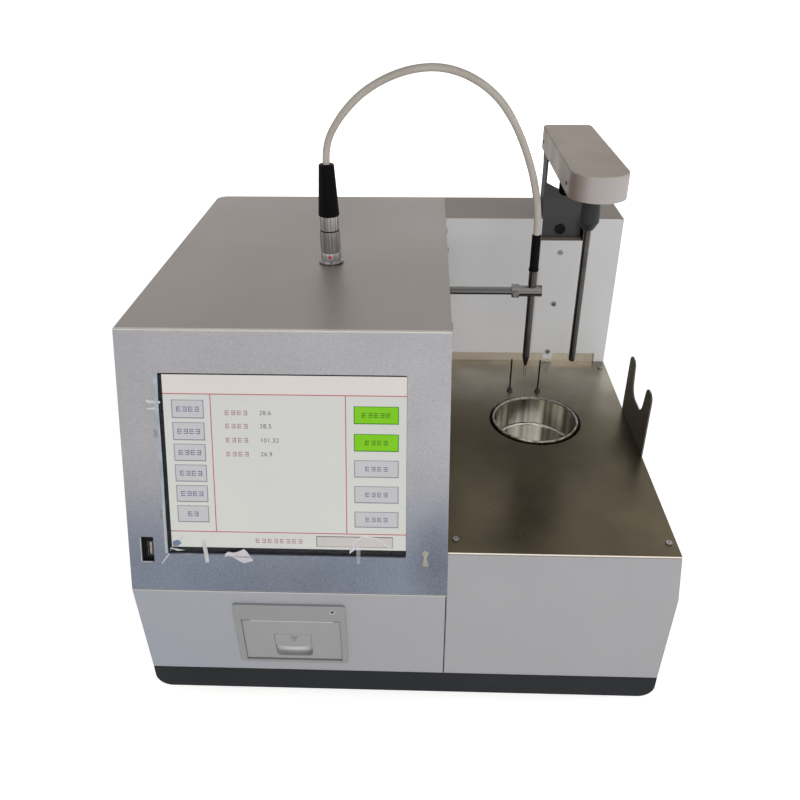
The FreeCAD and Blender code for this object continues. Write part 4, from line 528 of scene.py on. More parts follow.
@dataclass(frozen=True)
class Grain:
    """Fine structure of a surface: how wide its grain is, how deep, and which way it runs."""

    size: float = 0.001
    depth: float = 0.0
    stretch: Triple = ROUND
    tone: float = 0.0


@dataclass(frozen=True)
class Finish:
    """One finish of the tester, dressed as a procedural material.

    Colours are as seen on a screen, 0 to 255, and lengths are in metres.
    """

    name: str
    colour: Triple
    roughness: float = 0.4
    metallic: float = 0.0
    grain: Grain = Grain()
    layers: tuple[Layer, ...] = ()
    edge: float = 0.0004
    # Colour along the edges: mostly a painted highlight with some wear, and painted shade on the cup
    edge_colour: Triple | None = None
    gloss_change: float = 0.06
    gloss_size: float = 0.05
    specular: float = 0.5
    coat: float = 0.0
    coat_roughness: float = 0.1
    sheen: float = 0.0
    alpha: float = 1.0
    lit: bool = False

    def material(self, groups: ShaderGroups) -> bpy.types.Material:
        """Builds the material.

        Args:
            groups: The shared node groups.

        Returns:
            The finished material.
        """
        made = bpy.data.materials.new(self.name)
        made.use_nodes = True
        nodes = NodeBench(made.node_tree)
        given = nodes.add("ShaderNodeTexCoord")
        coat = Coat(nodes, groups, given.outputs["Object"], given.outputs["Normal"])
        surface = made.node_tree.nodes["Principled BSDF"]
        self._constants(surface)
        edges = coat.place(Group.EDGES, Radius=self.edge)
        grain = coat.place(Group.GRAIN, Stretch=self.grain.stretch, Size=self.grain.size)
        colour = self._colour(coat, grain, edges)
        if self.lit:
            surface.inputs["Base Color"].default_value = BLACK
            nodes.feed(surface.inputs["Emission Color"], colour)
            surface.inputs["Emission Strength"].default_value = 1.0
            surface.inputs["Specular IOR Level"].default_value = LIT_SPECULAR
        else:
            nodes.feed(surface.inputs["Base Color"], colour)
        self._gloss(coat, surface)
        normal = edges.outputs["Normal"]
        if self.grain.depth > 0:
            bump = nodes.add("ShaderNodeBump")
            bump.inputs["Distance"].default_value = self.grain.depth
            nodes.feed(bump.inputs["Height"], grain.outputs["Height"])
            nodes.feed(bump.inputs["Normal"], normal)
            normal = bump.outputs["Normal"]
        nodes.feed(surface.inputs["Normal"], normal)
        return made

    def _constants(self, surface: bpy.types.Node) -> None:
        """Sets what is the same all over the surface.

        Args:
            surface: The material's shader.
        """
        surface.inputs["Metallic"].default_value = self.metallic
        surface.inputs["Specular IOR Level"].default_value = self.specular
        surface.inputs["Coat Weight"].default_value = self.coat
        surface.inputs["Coat Roughness"].default_value = self.coat_roughness
        surface.inputs["Sheen Weight"].default_value = self.sheen
        surface.inputs["Alpha"].default_value = self.alpha

    def _gloss(self, coat: Coat, surface: bpy.types.Node) -> None:
        """Lets the roughness drift a little over the surface.

        Args:
            coat: The material being built.
            surface: Its shader.
        """
        patches = coat.place(Group.CLOUDS, Size=self.gloss_size)
        rough = coat.nodes.add("ShaderNodeMapRange")
        rough.inputs["To Min"].default_value = max(self.roughness - self.gloss_change, 0.0)
        rough.inputs["To Max"].default_value = self.roughness + self.gloss_change
        coat.nodes.feed(rough.inputs["Value"], patches.outputs["Mask"])
        coat.nodes.feed(surface.inputs["Roughness"], rough.outputs["Result"])

    def _colour(self, coat: Coat, grain: bpy.types.Node, edges: bpy.types.Node) -> bpy.types.NodeSocket:
        """Mixes the base colour with its grain, its layers and its edges.

        Args:
            coat: The material being built.
            grain: The grain group.
            edges: The edges group.

        Returns:
            The socket with the finished colour.
        """
        nodes = coat.nodes
        dark = screen_colour(*(GRAIN_SHADE * channel for channel in self.colour))
        mixed = nodes.mix(screen_colour(*self.colour), dark, grain.outputs["Tone"], self.grain.tone)
        for layer in self.layers:
            mixed = nodes.mix(mixed, screen_colour(*layer.colour), layer.mask(coat), layer.share)
        # Edge colour: a painted highlight on most finishes, partly wear, and painted shade on the cup
        if self.edge_colour is not None:
            mixed = nodes.mix(mixed, screen_colour(*self.edge_colour), edges.outputs["Mask"], share=1.0)
        return mixed


# In the tables a grain gives its size, depth, direction and tone in this order, and a layer its colour,
# its share and then what its kind adds: a size, a direction with both ends, a middle and reach, or a rate
PAINTS = (
    Finish(
        "hood_paint", (162, 154, 149), roughness=0.4, metallic=0.35,
        grain=Grain(0.0009, 0.000006, ALONG_Y, 0.08), edge=0.0008, edge_colour=(186, 182, 176),
        gloss_size=0.2, layers=(Clouds((152, 145, 140), 0.5, 0.16),)),
    # Bezel paint: darker and bluer towards the bottom and in two patches as painted dark reflections, with a
    # painted highlight along its top edge
    Finish(
        "bezel_paint", (190, 188, 191), roughness=0.5, metallic=0.3,
        grain=Grain(0.0009, 0.00003, ROUND, 0.2), edge=0.0008, edge_colour=(205, 205, 208),
        gloss_change=0.08,
        layers=(
            Fade((110, 121, 143), 1.0, (0.0, 0.0, 1.0), 0.285, 0.165),
            Spot((84, 96, 111), 0.8, (-0.105, -0.225, 0.15), (0.12, 0.1, 0.055)),
            Spot((50, 66, 88), 0.95, (0.03, -0.21, 0.17), (0.035, 0.1, 0.07)),
            Clouds((146, 150, 158), 0.3, 0.09), Clouds((196, 198, 202), 0.22, 0.0013),
            Clouds((70, 78, 92), 0.34, 0.0009), Fade((220, 217, 208), 0.9, (0.0, 0.0, 1.0), 0.3722, 0.3732),
        ),
    ),
    Finish(
        "panel_paint", (162, 163, 167), roughness=0.5, metallic=0.05,
        grain=Grain(0.0008, 0.00001, ROUND, 0.06), edge=0.0006, edge_colour=(204, 204, 208),
        layers=(Clouds((168, 168, 172), 0.4, 0.15),)),
    # Panel paint again, with a painted highlight along its top edge, and darker and bluer towards the left
    Finish(
        "lower_paint_lit_top", (163, 164, 169), roughness=0.5, metallic=0.05,
        grain=Grain(0.0008, 0.00001, ROUND, 0.06), edge=0.0006, edge_colour=(204, 204, 208),
        layers=(
            Fade((156, 162, 177), 0.9, (1.0, 0.0, 0.0), -0.05, -0.25), Clouds((168, 169, 174), 0.4, 0.15),
            Fade((216, 216, 214), 0.9, (0.0, 0.0, 1.0), 0.1462, 0.147),
        ),
    ),
    # Column paint: level faces darker and warmer than the upright ones, and the lower part lighter, as
    # painted light and shade
    Finish(
        "column_paint", (157, 145, 134), roughness=0.5, grain=Grain(0.0008, 0.00001, ROUND, 0.05),
        edge=0.0007, edge_colour=(200, 200, 202), gloss_size=0.2, specular=0.35,
        layers=(
            UprightShading((208, 210, 213)), Fade((214, 216, 218), 0.7, (0.0, 0.0, 1.0), 0.33, 0.2),
            Clouds((184, 185, 188), 0.25, 0.2),
        ),
    ),
    Finish(
        "pan_paint", (30, 32, 36), roughness=0.6, grain=Grain(0.0009, 0.00004, ROUND, 0.15), edge=0.0006,
        edge_colour=(70, 74, 78), specular=0.15, layers=(Clouds((36, 38, 41), 0.5, 0.09),)),
    # Bracket paint, with the faces that look left painted near black as shade
    Finish(
        "bracket_paint", (80, 82, 82), roughness=0.55, grain=Grain(0.0008, 0.00002, ROUND, 0.1),
        edge=0.0005, edge_colour=(90, 92, 92), specular=0.08,
        layers=(Clouds((68, 70, 72), 0.5, 0.05), Facing((20, 19, 17)))),
    # Arm paint: the level top lighter and warmer than the upright faces, and the left side darker, as painted
    # light and shade
    Finish(
        "arm_paint", (198, 186, 173), roughness=0.5, grain=Grain(0.0008, 0.00002, ROUND, 0.08), edge=0.0009,
        edge_colour=(192, 186, 180), specular=0.35,
        layers=(UprightShading((175, 171, 172)), Facing((108, 93, 82)), Clouds((166, 156, 148), 0.3, 0.07))),
    Finish(
        "fork_paint", (84, 82, 77), roughness=0.45, metallic=0.15,
        grain=Grain(0.0006, 0.00002, ROUND, 0.15), edge=0.0004, edge_colour=(134, 122, 110), specular=0.4,
        layers=(Clouds((96, 91, 84), 0.5, 0.03),)),
)

# The bands on the turned metals are painted reflections of light and dark surroundings
METALS = (
    # Deck steel: lighter towards the back as a painted reflection of the column, and its upright faces
    # lighter as painted light
    Finish(
        "deck_steel", (82, 74, 59), roughness=0.32, metallic=0.85,
        grain=Grain(0.0007, 0.000008, ALONG_X, 0.25), edge=0.0004, edge_colour=(160, 152, 142),
        gloss_change=0.07, gloss_size=0.11,
        layers=(
            Fade((182, 176, 162), 1.0, (0.0, 1.0, 0.0), -0.03, 0.125), Clouds((106, 95, 75), 0.7, 0.07),
            UprightShading((238, 229, 216)),
        ),
    ),
    # Cup steel: its bands are painted reflections, it is darker and browner towards the bottom, and its edges
    # are painted dark as shade
    Finish(
        "cup_steel", (232, 228, 219), roughness=0.16, metallic=1.0,
        grain=Grain(0.0006, 0.00001, ALONG_Z, 0.12), edge=0.0003, edge_colour=(82, 76, 66),
        layers=(
            ReflectionBands((88, 84, 74), 0.9, Axis.Z, 4.6), ReflectionBands((242, 240, 234), 0.45, Axis.Z, 11.0),
            Clouds((176, 171, 159), 0.3, 0.03), Fade((70, 64, 54), 0.45, (0.0, 0.0, 1.0), 0.142, 0.136),
        ),
    ),
    Finish(
        "cup_rim", (206, 200, 190), roughness=0.34, metallic=0.9, grain=Grain(0.0012, 0.0001, ROUND, 0.3),
        edge=0.0003, layers=(Clouds((74, 65, 54), 0.9, 0.007),)),
    Finish(
        "probe_steel", (84, 81, 79), roughness=0.28, metallic=0.9,
        grain=Grain(0.0004, 0.00001, ALONG_Z, 0.3), edge=0.0002,
        layers=(ReflectionBands((26, 24, 23), 0.95, Axis.Z, 6.0), Clouds((96, 92, 90), 0.4, 0.015))),
    Finish(
        "bright_steel", (150, 149, 149), roughness=0.22, metallic=0.95,
        grain=Grain(0.0004, 0.00001, ALONG_X, 0.2), edge=0.0003,
        layers=(ReflectionBands((44, 43, 43), 0.9, Axis.X, 4.0),)),
    Finish(
        "screw_steel", (160, 158, 154), roughness=0.32, metallic=0.9,
        grain=Grain(0.0003, 0.00001, ALONG_X, 0.2), edge=0.0003,
        layers=(Clouds((122, 118, 114), 0.5, 0.004),)),
    Finish(
        "chrome", (136, 134, 132), roughness=0.16, metallic=1.0, grain=Grain(0.0006), edge=0.0003,
        edge_colour=(214, 212, 210), gloss_change=0.04, layers=(ReflectionBands((70, 69, 69), 0.75, Axis.Z, 3.2),)),
    Finish(
        "plug_metal", (178, 176, 174), roughness=0.3, metallic=0.8,
        grain=Grain(0.0007, 0.00002, ALONG_Z, 0.3), edge=0.0003, edge_colour=(226, 224, 222),
        layers=(ReflectionBands((84, 83, 84), 0.6, Axis.Z, 5.0),)),
    Finish(
        "band_metal", (190, 190, 192), roughness=0.3, metallic=0.6,
        grain=Grain(0.0004, 0.00001, ROUND, 0.1), edge=0.0003, edge_colour=(230, 230, 230),
        layers=(ReflectionBands((120, 120, 124), 0.6, Axis.Z, 3.0),)),
    Finish(
        "zinc_sheet", (164, 167, 168), roughness=0.4, metallic=0.85,
        grain=Grain(0.0012, 0.00001, ALONG_Z, 0.15), gloss_change=0.1,
        layers=(Clouds((138, 142, 144), 0.6, 0.03),)),
    Finish(
        "cast_block", (84, 78, 74), roughness=0.62, metallic=0.8, grain=Grain(0.0016, 0.00012, ROUND, 0.3),
        layers=(Clouds((60, 54, 50), 0.7, 0.03),)),
    Finish(
        "band_mica", (146, 136, 118), roughness=0.5, metallic=0.8,
        grain=Grain(0.001, 0.00002, ALONG_Z, 0.25), layers=(Clouds((116, 102, 82), 0.6, 0.02),)),
    Finish(
        "aluminium", (182, 184, 186), roughness=0.32, metallic=0.95,
        grain=Grain(0.0005, 0.00001, ALONG_X, 0.12), gloss_change=0.07,
        layers=(Clouds((158, 160, 163), 0.5, 0.03),)),
)

PLASTICS = (
    Finish(
        "ceramic_fibre", (226, 221, 211), roughness=0.95, grain=Grain(0.0014, 0.0003, ROUND, 0.15),
        sheen=0.2, layers=(Clouds((204, 196, 180), 0.5, 0.03),)),
    Finish(
        "ceramic", (44, 40, 38), roughness=0.35, grain=Grain(0.0008, 0.00002, ROUND, 0.2), edge=0.0003,
        layers=(Clouds((60, 54, 50), 0.5, 0.006),)),
    Finish(
        "collet_grey", (44, 46, 46), roughness=0.5, grain=Grain(0.0006, 0.00001, ROUND, 0.08), edge=0.0005,
        edge_colour=(96, 98, 98), specular=0.2, layers=(Clouds((38, 40, 41), 0.5, 0.015),)),
    Finish(
        "black_rubber", (10, 10, 12), roughness=0.65, grain=Grain(0.0007, 0.00004, ROUND, 0.2),
        specular=0.06, layers=(Clouds((15, 15, 17), 0.5, 0.02),)),
    Finish(
        "black_plastic", (14, 14, 16), roughness=0.55, grain=Grain(0.0006, 0.00003, ROUND, 0.15),
        edge=0.0004, edge_colour=(44, 44, 46), specular=0.15, layers=(Clouds((22, 22, 24), 0.5, 0.03),)),
    Finish(
        "motor_black", (30, 30, 32), roughness=0.5, metallic=0.1, grain=Grain(0.0009, 0.00004, ROUND, 0.15),
        edge=0.0004, edge_colour=(70, 70, 72), specular=0.3, layers=(Clouds((40, 40, 42), 0.5, 0.02),)),
    # Printer plastic, with a painted light patch on the floor of the paper scoop
    Finish(
        "printer_plastic", (152, 154, 156), roughness=0.5, grain=Grain(0.0007, 0.00003, ROUND, 0.08),
        edge=0.0005, edge_colour=(222, 224, 224),
        layers=(
            Clouds((157, 159, 161), 0.5, 0.05),
            Spot((220, 222, 224), 1.0, (-0.1053, -0.2205, 0.066), (0.03, 0.0055, 0.02)),
        ),
    ),
    Finish(
        "tear_plastic", (214, 216, 216), roughness=0.45, grain=Grain(0.0005, 0.00001, ROUND, 0.1),
        layers=(Clouds((180, 182, 184), 0.6, 0.004),)),
    Finish(
        "mark_print", (112, 114, 116), roughness=0.5, grain=Grain(0.0004),
        layers=(Clouds((134, 136, 138), 0.6, 0.001),)),
    Finish(
        "frame_plastic", (144, 146, 148), roughness=0.5, grain=Grain(0.0007, 0.00003, ROUND, 0.08),
        edge=0.0006, edge_colour=(184, 186, 190), layers=(Clouds((152, 154, 158), 0.5, 0.05),)),
    Finish(
        "cable_sleeve", (186, 182, 176), roughness=0.55, grain=Grain(0.0009, 0.00004, ROUND, 0.15),
        specular=0.3, layers=(Clouds((162, 155, 145), 0.6, 0.035),)),
    Finish(
        "wire_sleeve", (128, 124, 118), roughness=0.45, grain=Grain(0.0005, 0.00002, ROUND, 0.1),
        layers=(Clouds((54, 50, 46), 0.9, 0.003),)),
    Finish(
        "clear_glass", (232, 234, 232), roughness=0.06, edge=0.0003, gloss_change=0.02, alpha=0.007,
        layers=(Clouds((220, 222, 220), 0.5, 0.06),)),
    Finish(
        "display_frame", (20, 23, 27), roughness=0.5, grain=Grain(0.0008, 0.00002, ROUND, 0.1),
        specular=0.3, layers=(Clouds((32, 36, 42), 0.5, 0.03),)),
    Finish(
        "board_green", (28, 92, 58), roughness=0.35, grain=Grain(0.0012, 0.00002, ROUND, 0.2), coat=0.3,
        layers=(Clouds((22, 76, 48), 0.5, 0.02),)),
    Finish(
        "paper", (234, 233, 228), roughness=0.85, grain=Grain(0.0006, 0.00003, ROUND, 0.05),
        layers=(Clouds((226, 224, 217), 0.5, 0.03),)),
    Finish("lamp_lens", (8, 16, 8), roughness=0.2, coat=0.3, layers=(Clouds((14, 30, 12), 0.5, 0.002),)),
    Finish("lamp_ring", (214, 216, 214), roughness=0.4, layers=(Clouds((196, 200, 198), 0.5, 0.003),)),
    Finish(
        "tongue_beige", (168, 163, 150), roughness=0.45, grain=Grain(0.0005, 0.00001, ROUND, 0.1),
        layers=(Clouds((140, 134, 122), 0.5, 0.004),)),
    Finish("index_red", (196, 26, 36), roughness=0.3, coat=0.5, layers=(Clouds((178, 20, 30), 0.5, 0.001),)),
)

PAGE = (
    Finish("page_white", (207, 207, 201), lit=True, layers=(Clouds((200, 202, 202), 0.6, 0.09),)),
    Finish("page_header", (216, 209, 204), lit=True, layers=(Clouds((209, 206, 204), 0.6, 0.06),)),
    Finish("page_red", (176, 92, 96), lit=True, layers=(Clouds((190, 120, 122), 0.6, 0.02),)),
    Finish("key_grey", (192, 191, 193), lit=True, layers=(Clouds((186, 185, 188), 0.6, 0.03),)),
    Finish("key_shade", (128, 131, 140), lit=True, layers=(Clouds((144, 146, 152), 0.6, 0.01),)),
    Finish("key_green", (124, 198, 14), lit=True, layers=(Clouds((116, 190, 8), 0.6, 0.02),)),
    Finish("key_green_shade", (74, 134, 26), lit=True, layers=(Clouds((66, 124, 22), 0.6, 0.02),)),
    Finish("mark_grey", (78, 88, 124), lit=True, layers=(Clouds((126, 130, 146), 0.8, 0.002),)),
    Finish("mark_red", (142, 90, 98), lit=True, layers=(Clouds((178, 138, 142), 0.8, 0.002),)),
    Finish("mark_dark", (84, 64, 68), lit=True, layers=(Clouds((128, 108, 110), 0.8, 0.002),)),
    Finish("mark_green", (40, 84, 14), lit=True, layers=(Clouds((70, 128, 20), 0.8, 0.002),)),
    Finish("box_shade", (96, 94, 98), lit=True, layers=(Clouds((150, 146, 146), 0.8, 0.02),)),
    Finish("box_page", (196, 191, 188), lit=True, layers=(Clouds((190, 186, 184), 0.6, 0.04),)),
)

FILMS = (
    Finish(
        "film_clear", (226, 230, 234), roughness=0.2, alpha=0.004, gloss_change=0.05, specular=0.3,
        layers=(Clouds((206, 212, 220), 0.5, 0.01),)),
    Finish(
        "film_glint", (250, 252, 255), roughness=0.3, alpha=0.62,
        layers=(Clouds((226, 230, 236), 0.5, 0.004),)),
    Finish(
        "film_edge_highlight", (182, 194, 208), roughness=0.35, alpha=0.95,
        layers=(Clouds((146, 154, 164), 0.8, 0.012),)),
    Finish(
        "film_tab", (226, 228, 232), roughness=0.35, alpha=0.75,
        layers=(Clouds((206, 210, 216), 0.6, 0.004),)),
    # Glints, faint glints and the film's edge strip are painted highlights
    Finish(
        "film_faint_glint", (236, 240, 246), roughness=0.3, alpha=0.16,
        layers=(Clouds((214, 220, 230), 0.5, 0.006),)),
    Finish(
        "film_white", (216, 212, 222), roughness=0.4, alpha=0.95,
        layers=(Clouds((196, 192, 204), 0.5, 0.006),)),
    Finish(
        "film_blue", (110, 128, 158), roughness=0.4, alpha=0.85,
        layers=(Clouds((140, 154, 178), 0.6, 0.003),)),
    Finish(
        "film_beige", (172, 170, 158), roughness=0.5, alpha=0.9,
        layers=(Clouds((156, 154, 144), 0.5, 0.005),)),
)

FINISHES = PAINTS + METALS + PLASTICS + PAGE + FILMS

NODE_FINISH = {
    "base_pan": "pan_paint", "rubber_feet": "black_rubber", "control_cover": "hood_paint",
    "work_cover": "panel_paint", "column_cover": "column_paint", "strip_cover": "column_paint",
    "rear_panel": "panel_paint", "screen_bezel": "bezel_paint", "touch_glass": "clear_glass",
    "display_module": "display_frame", "usb_socket": "black_plastic", "lower_panel": "lower_paint_lit_top",
    "deck_plate": "deck_steel", "test_cup": "cup_steel", "heater_block": "cast_block",
    "heater_band": "band_mica", "insulation_ring": "ceramic_fibre", "heater_stand": "zinc_sheet",
    "electrode_pins": "probe_steel", "pin_bushes": "ceramic", "lift_frame": "zinc_sheet",
    "lift_motor": "motor_black", "lead_screw": "bright_steel", "guide_rods": "chrome",
    "carriage_block": "aluminium", "lift_bracket": "bracket_paint", "arm_housing": "arm_paint",
    "arm_plate": "bracket_paint", "head_screws": "black_plastic", "sensor_conduit": "black_rubber",
    "rod_collet": "collet_grey", "thermometer_rod": "probe_steel", "swing_motor": "motor_black",
    "wall_bush": "black_plastic", "igniter_arm": "bright_steel", "rod_clamp": "chrome",
    "clamp_screw": "chrome", "igniter_probe": "probe_steel", "probe_sleeve": "black_rubber",
    "igniter_wire": "wire_sleeve", "panel_socket": "chrome", "cable_plug": "plug_metal",
    "plug_boot": "black_rubber", "tongs_fork": "fork_paint", "printer_bezel": "frame_plastic",
    "status_lamp": "lamp_ring", "printer_door": "printer_plastic", "printer_latch": "printer_plastic",
    "platen_roller": "black_rubber", "printer_tray": "black_plastic", "paper_roll": "paper",
    "mains_inlet": "black_plastic", "switch_frame": "black_plastic", "power_rocker": "black_plastic",
    "cooling_fan": "black_plastic", "fan_rotor": "black_plastic", "power_supply": "zinc_sheet",
    "control_board": "board_green", "panel_screws": "screw_steel",
}


@dataclass
class Wardrobe:
    """The finishes as materials, by name."""

    groups: ShaderGroups
    materials: dict[str, bpy.types.Material] = field(default_factory=dict)

    def get(self, name: str) -> bpy.types.Material:
        """Gives a finish's material, and builds it on first use.

        Args:
            name: The finish's name.

        Returns:
            The material.
        """
        if name not in self.materials:
            finish = next(f for f in FINISHES if f.name == name)
            self.materials[name] = finish.material(self.groups)
        return self.materials[name]

    def dress(self, piece: bpy.types.Object, name: str) -> None:
        """Gives a piece one finish and nothing else."""
        piece.data.materials.clear()
        piece.data.materials.append(self.get(name))


@dataclass
class Assembly:
    """Sub-assembly that takes its finishes from the wardrobe."""

    wardrobe: Wardrobe


def above(height: float) -> FaceTest:
    """Gives a test for faces whose middle is above a height."""
    return lambda face: face.calc_center_median().z > height


def below(height: float) -> FaceTest:
    """Gives a test for faces whose middle is below a height."""
    return lambda face: face.calc_center_median().z < height


class Hand:
    """Small modelling moves that every sub-assembly uses."""

    @staticmethod
    def clear() -> None:
        """Deselects everything."""
        bpy.ops.object.select_all(action="DESELECT")

    @classmethod
    def take(cls, *pieces: bpy.types.Object) -> None:
        """Selects pieces and makes the first active.

        Args:
            *pieces: The objects.
        """
        cls.clear()
        for piece in pieces:
            piece.select_set(True)
        bpy.context.view_layer.objects.active = pieces[0]

    @classmethod
    @contextmanager
    def editing(cls, piece: bpy.types.Object) -> Iterator[bmesh.types.BMesh]:
        """Opens a piece in edit mode with nothing selected.

        Args:
            piece: The mesh object.

        Yields:
            Its edit mesh.
        """
        cls.take(piece)
        bpy.ops.object.mode_set(mode="EDIT")
        bpy.ops.mesh.select_all(action="DESELECT")
        yield bmesh.from_edit_mesh(piece.data)
        bpy.ops.object.mode_set(mode="OBJECT")

    @staticmethod
    def pick_faces(mesh: bmesh.types.BMesh, wanted: FaceTest) -> None:
        """Selects the faces that pass a test, and nothing else.

        Args:
            mesh: The edit mesh, with nothing selected.
            wanted: The test.
        """
        bpy.ops.mesh.select_mode(type="FACE")
        for face in mesh.faces:
            face.select_set(bool(wanted(face)))

    @staticmethod
    def named(name: str) -> bpy.types.Object:
        """Names the new active object.

        Args:
            name: The object's name, and its mesh's.

        Returns:
            The object.
        """
        piece = bpy.context.object
        piece.name = name
        piece.data.name = name
        return piece

    @staticmethod
    def settle(piece: bpy.types.Object, matrix: Matrix | None = None) -> bpy.types.Object:
        """Puts a piece's place into its mesh, so that its object sits at the origin.

        Args:
            piece: The object.
            matrix: A further move, after the object's own.

        Returns:
            The same object.
        """
        bpy.context.view_layer.update()
        piece.data.transform(piece.matrix_world)
        piece.matrix_world = Matrix.Identity(4)
        if matrix is not None:
            piece.data.transform(matrix)
        piece.data.update()
        return piece

    @staticmethod
    def copy(piece: bpy.types.Object, matrix: Matrix) -> bpy.types.Object:
        """Copies a piece with its own mesh and moves the copy.

        Args:
            piece: The object.
            matrix: The move.

        Returns:
            The copy.
        """
        twin = piece.copy()
        twin.data = piece.data.copy()
        bpy.context.scene.collection.objects.link(twin)
        twin.data.transform(matrix)
        return twin

    @classmethod
    def join(cls, name: str, pieces: list[bpy.types.Object]) -> bpy.types.Object:
        """Joins pieces into one and names it.

        Args:
            name: The joined piece's name.
            pieces: The objects, of which the first takes in the others.

        Returns:
            The joined piece.
        """
        cls.take(*pieces)
        if len(pieces) > 1:
            bpy.ops.object.join()
        joined = pieces[0]
        joined.name = name
        joined.data.name = name
        return joined

    @classmethod
    def apply_modifiers(cls, piece: bpy.types.Object) -> None:
        """Applies every modifier in order.

        Args:
            piece: The object.
        """
        cls.take(piece)
        for modifier in list(piece.modifiers):
            bpy.ops.object.modifier_apply(modifier=modifier.name)

    @classmethod
    def smooth(cls, piece: bpy.types.Object, degrees: float = 35.0) -> None:
        """Shades a piece smooth, with edges sharper than an angle kept."""
        cls.take(piece)
        bpy.ops.object.shade_smooth_by_angle(angle=math.radians(degrees))

    @classmethod
    def slab(cls, name: str, width: float, height: float, rise: float, rim: float) -> bpy.types.Object:
        """Flat pad with a rimmed upper face, its base centred on the origin.

        Args:
            name: The piece's name.
            width: Size along X.
            height: Size along Y.
            rise: Thickness.
            rim: Width of the rim.

        Returns:
            The pad.
        """
        cls.clear()
        bpy.ops.mesh.primitive_plane_add(size=1.0)
        pad = cls.named(name)
        pad.scale = (width, height, 1.0)
        cls.settle(pad)
        with cls.editing(pad):
            bpy.ops.mesh.select_all(action="SELECT")
            bpy.ops.mesh.extrude_region_move(TRANSFORM_OT_translate={"value": (0, 0, rise)})
        with cls.editing(pad) as mesh:
            cls.pick_faces(mesh, above(0.75 * rise))
            bpy.ops.mesh.inset(thickness=rim, depth=0.0)
            bpy.ops.mesh.select_all(action="SELECT")
            bpy.ops.mesh.normals_make_consistent(inside=False)
        return pad

    @classmethod
    def patch(cls, name: str, corners: Outline, rise: float, crease: float) -> bpy.types.Object:
        """Thin flat scrap with any outline, crinkled a little.

        Args:
            name: The piece's name.
            corners: Its outline in millimetres, counterclockwise from above.
            rise: Thickness in millimetres.
            crease: How strongly it crinkles.

        Returns:
            The scrap.
        """
        cls.clear()
        bpy.ops.mesh.primitive_circle_add(vertices=len(corners), radius=MM, fill_type="NGON")
        scrap = cls.named(name)
        with cls.editing(scrap) as mesh:
            bpy.ops.mesh.select_mode(type="VERT")
            mesh.verts.ensure_lookup_table()
            for vertex, (x, y) in zip(mesh.verts, corners):
                bpy.ops.mesh.select_all(action="DESELECT")
                vertex.select_set(True)
                bpy.ops.transform.translate(value=Vector((x * MM, y * MM, 0.0)) - vertex.co)
            bpy.ops.mesh.select_all(action="SELECT")
            bpy.ops.mesh.quads_convert_to_tris()
            bpy.ops.mesh.subdivide(
                number_cuts=2, fractal=crease, fractal_along_normal=1.0, seed=len(corners))
            bpy.ops.mesh.normals_make_consistent(inside=False)
        wall = scrap.modifiers.new("wall", "SOLIDIFY")
        wall.thickness = rise * MM
        wall.offset = 1.0
        cls.apply_modifiers(scrap)
        cls.smooth(scrap, degrees=60.0)
        return scrap


def front_matrix(turn: float, y: float, z: float) -> Matrix:
    """Matrix that lifts (x, up, out), in metres from the left side, onto a front face.

    Args:
        turn: Angle of the face above the level.
        y: Depth of its lower edge, in bench millimetres.
        z: Height of its lower edge, in bench millimetres.

    Returns:
        The matrix into the row frame.
    """
    return Matrix.Translation(bench(0, y, z)) @ Matrix.Rotation(turn, 4, "X")


ON_SLOPE = front_matrix(math.pi / 2 - LEAN, 0.0, FOLD_Z)
ON_APRON = front_matrix(math.pi / 2 + TILT, TOE_IN, PAN_TOP)


def at(x: float, up: float, out: float) -> Matrix:
    """Move by millimetres on a front face, before it is lifted there."""
    return Matrix.Translation(Vector((x, up, out)) * MM)


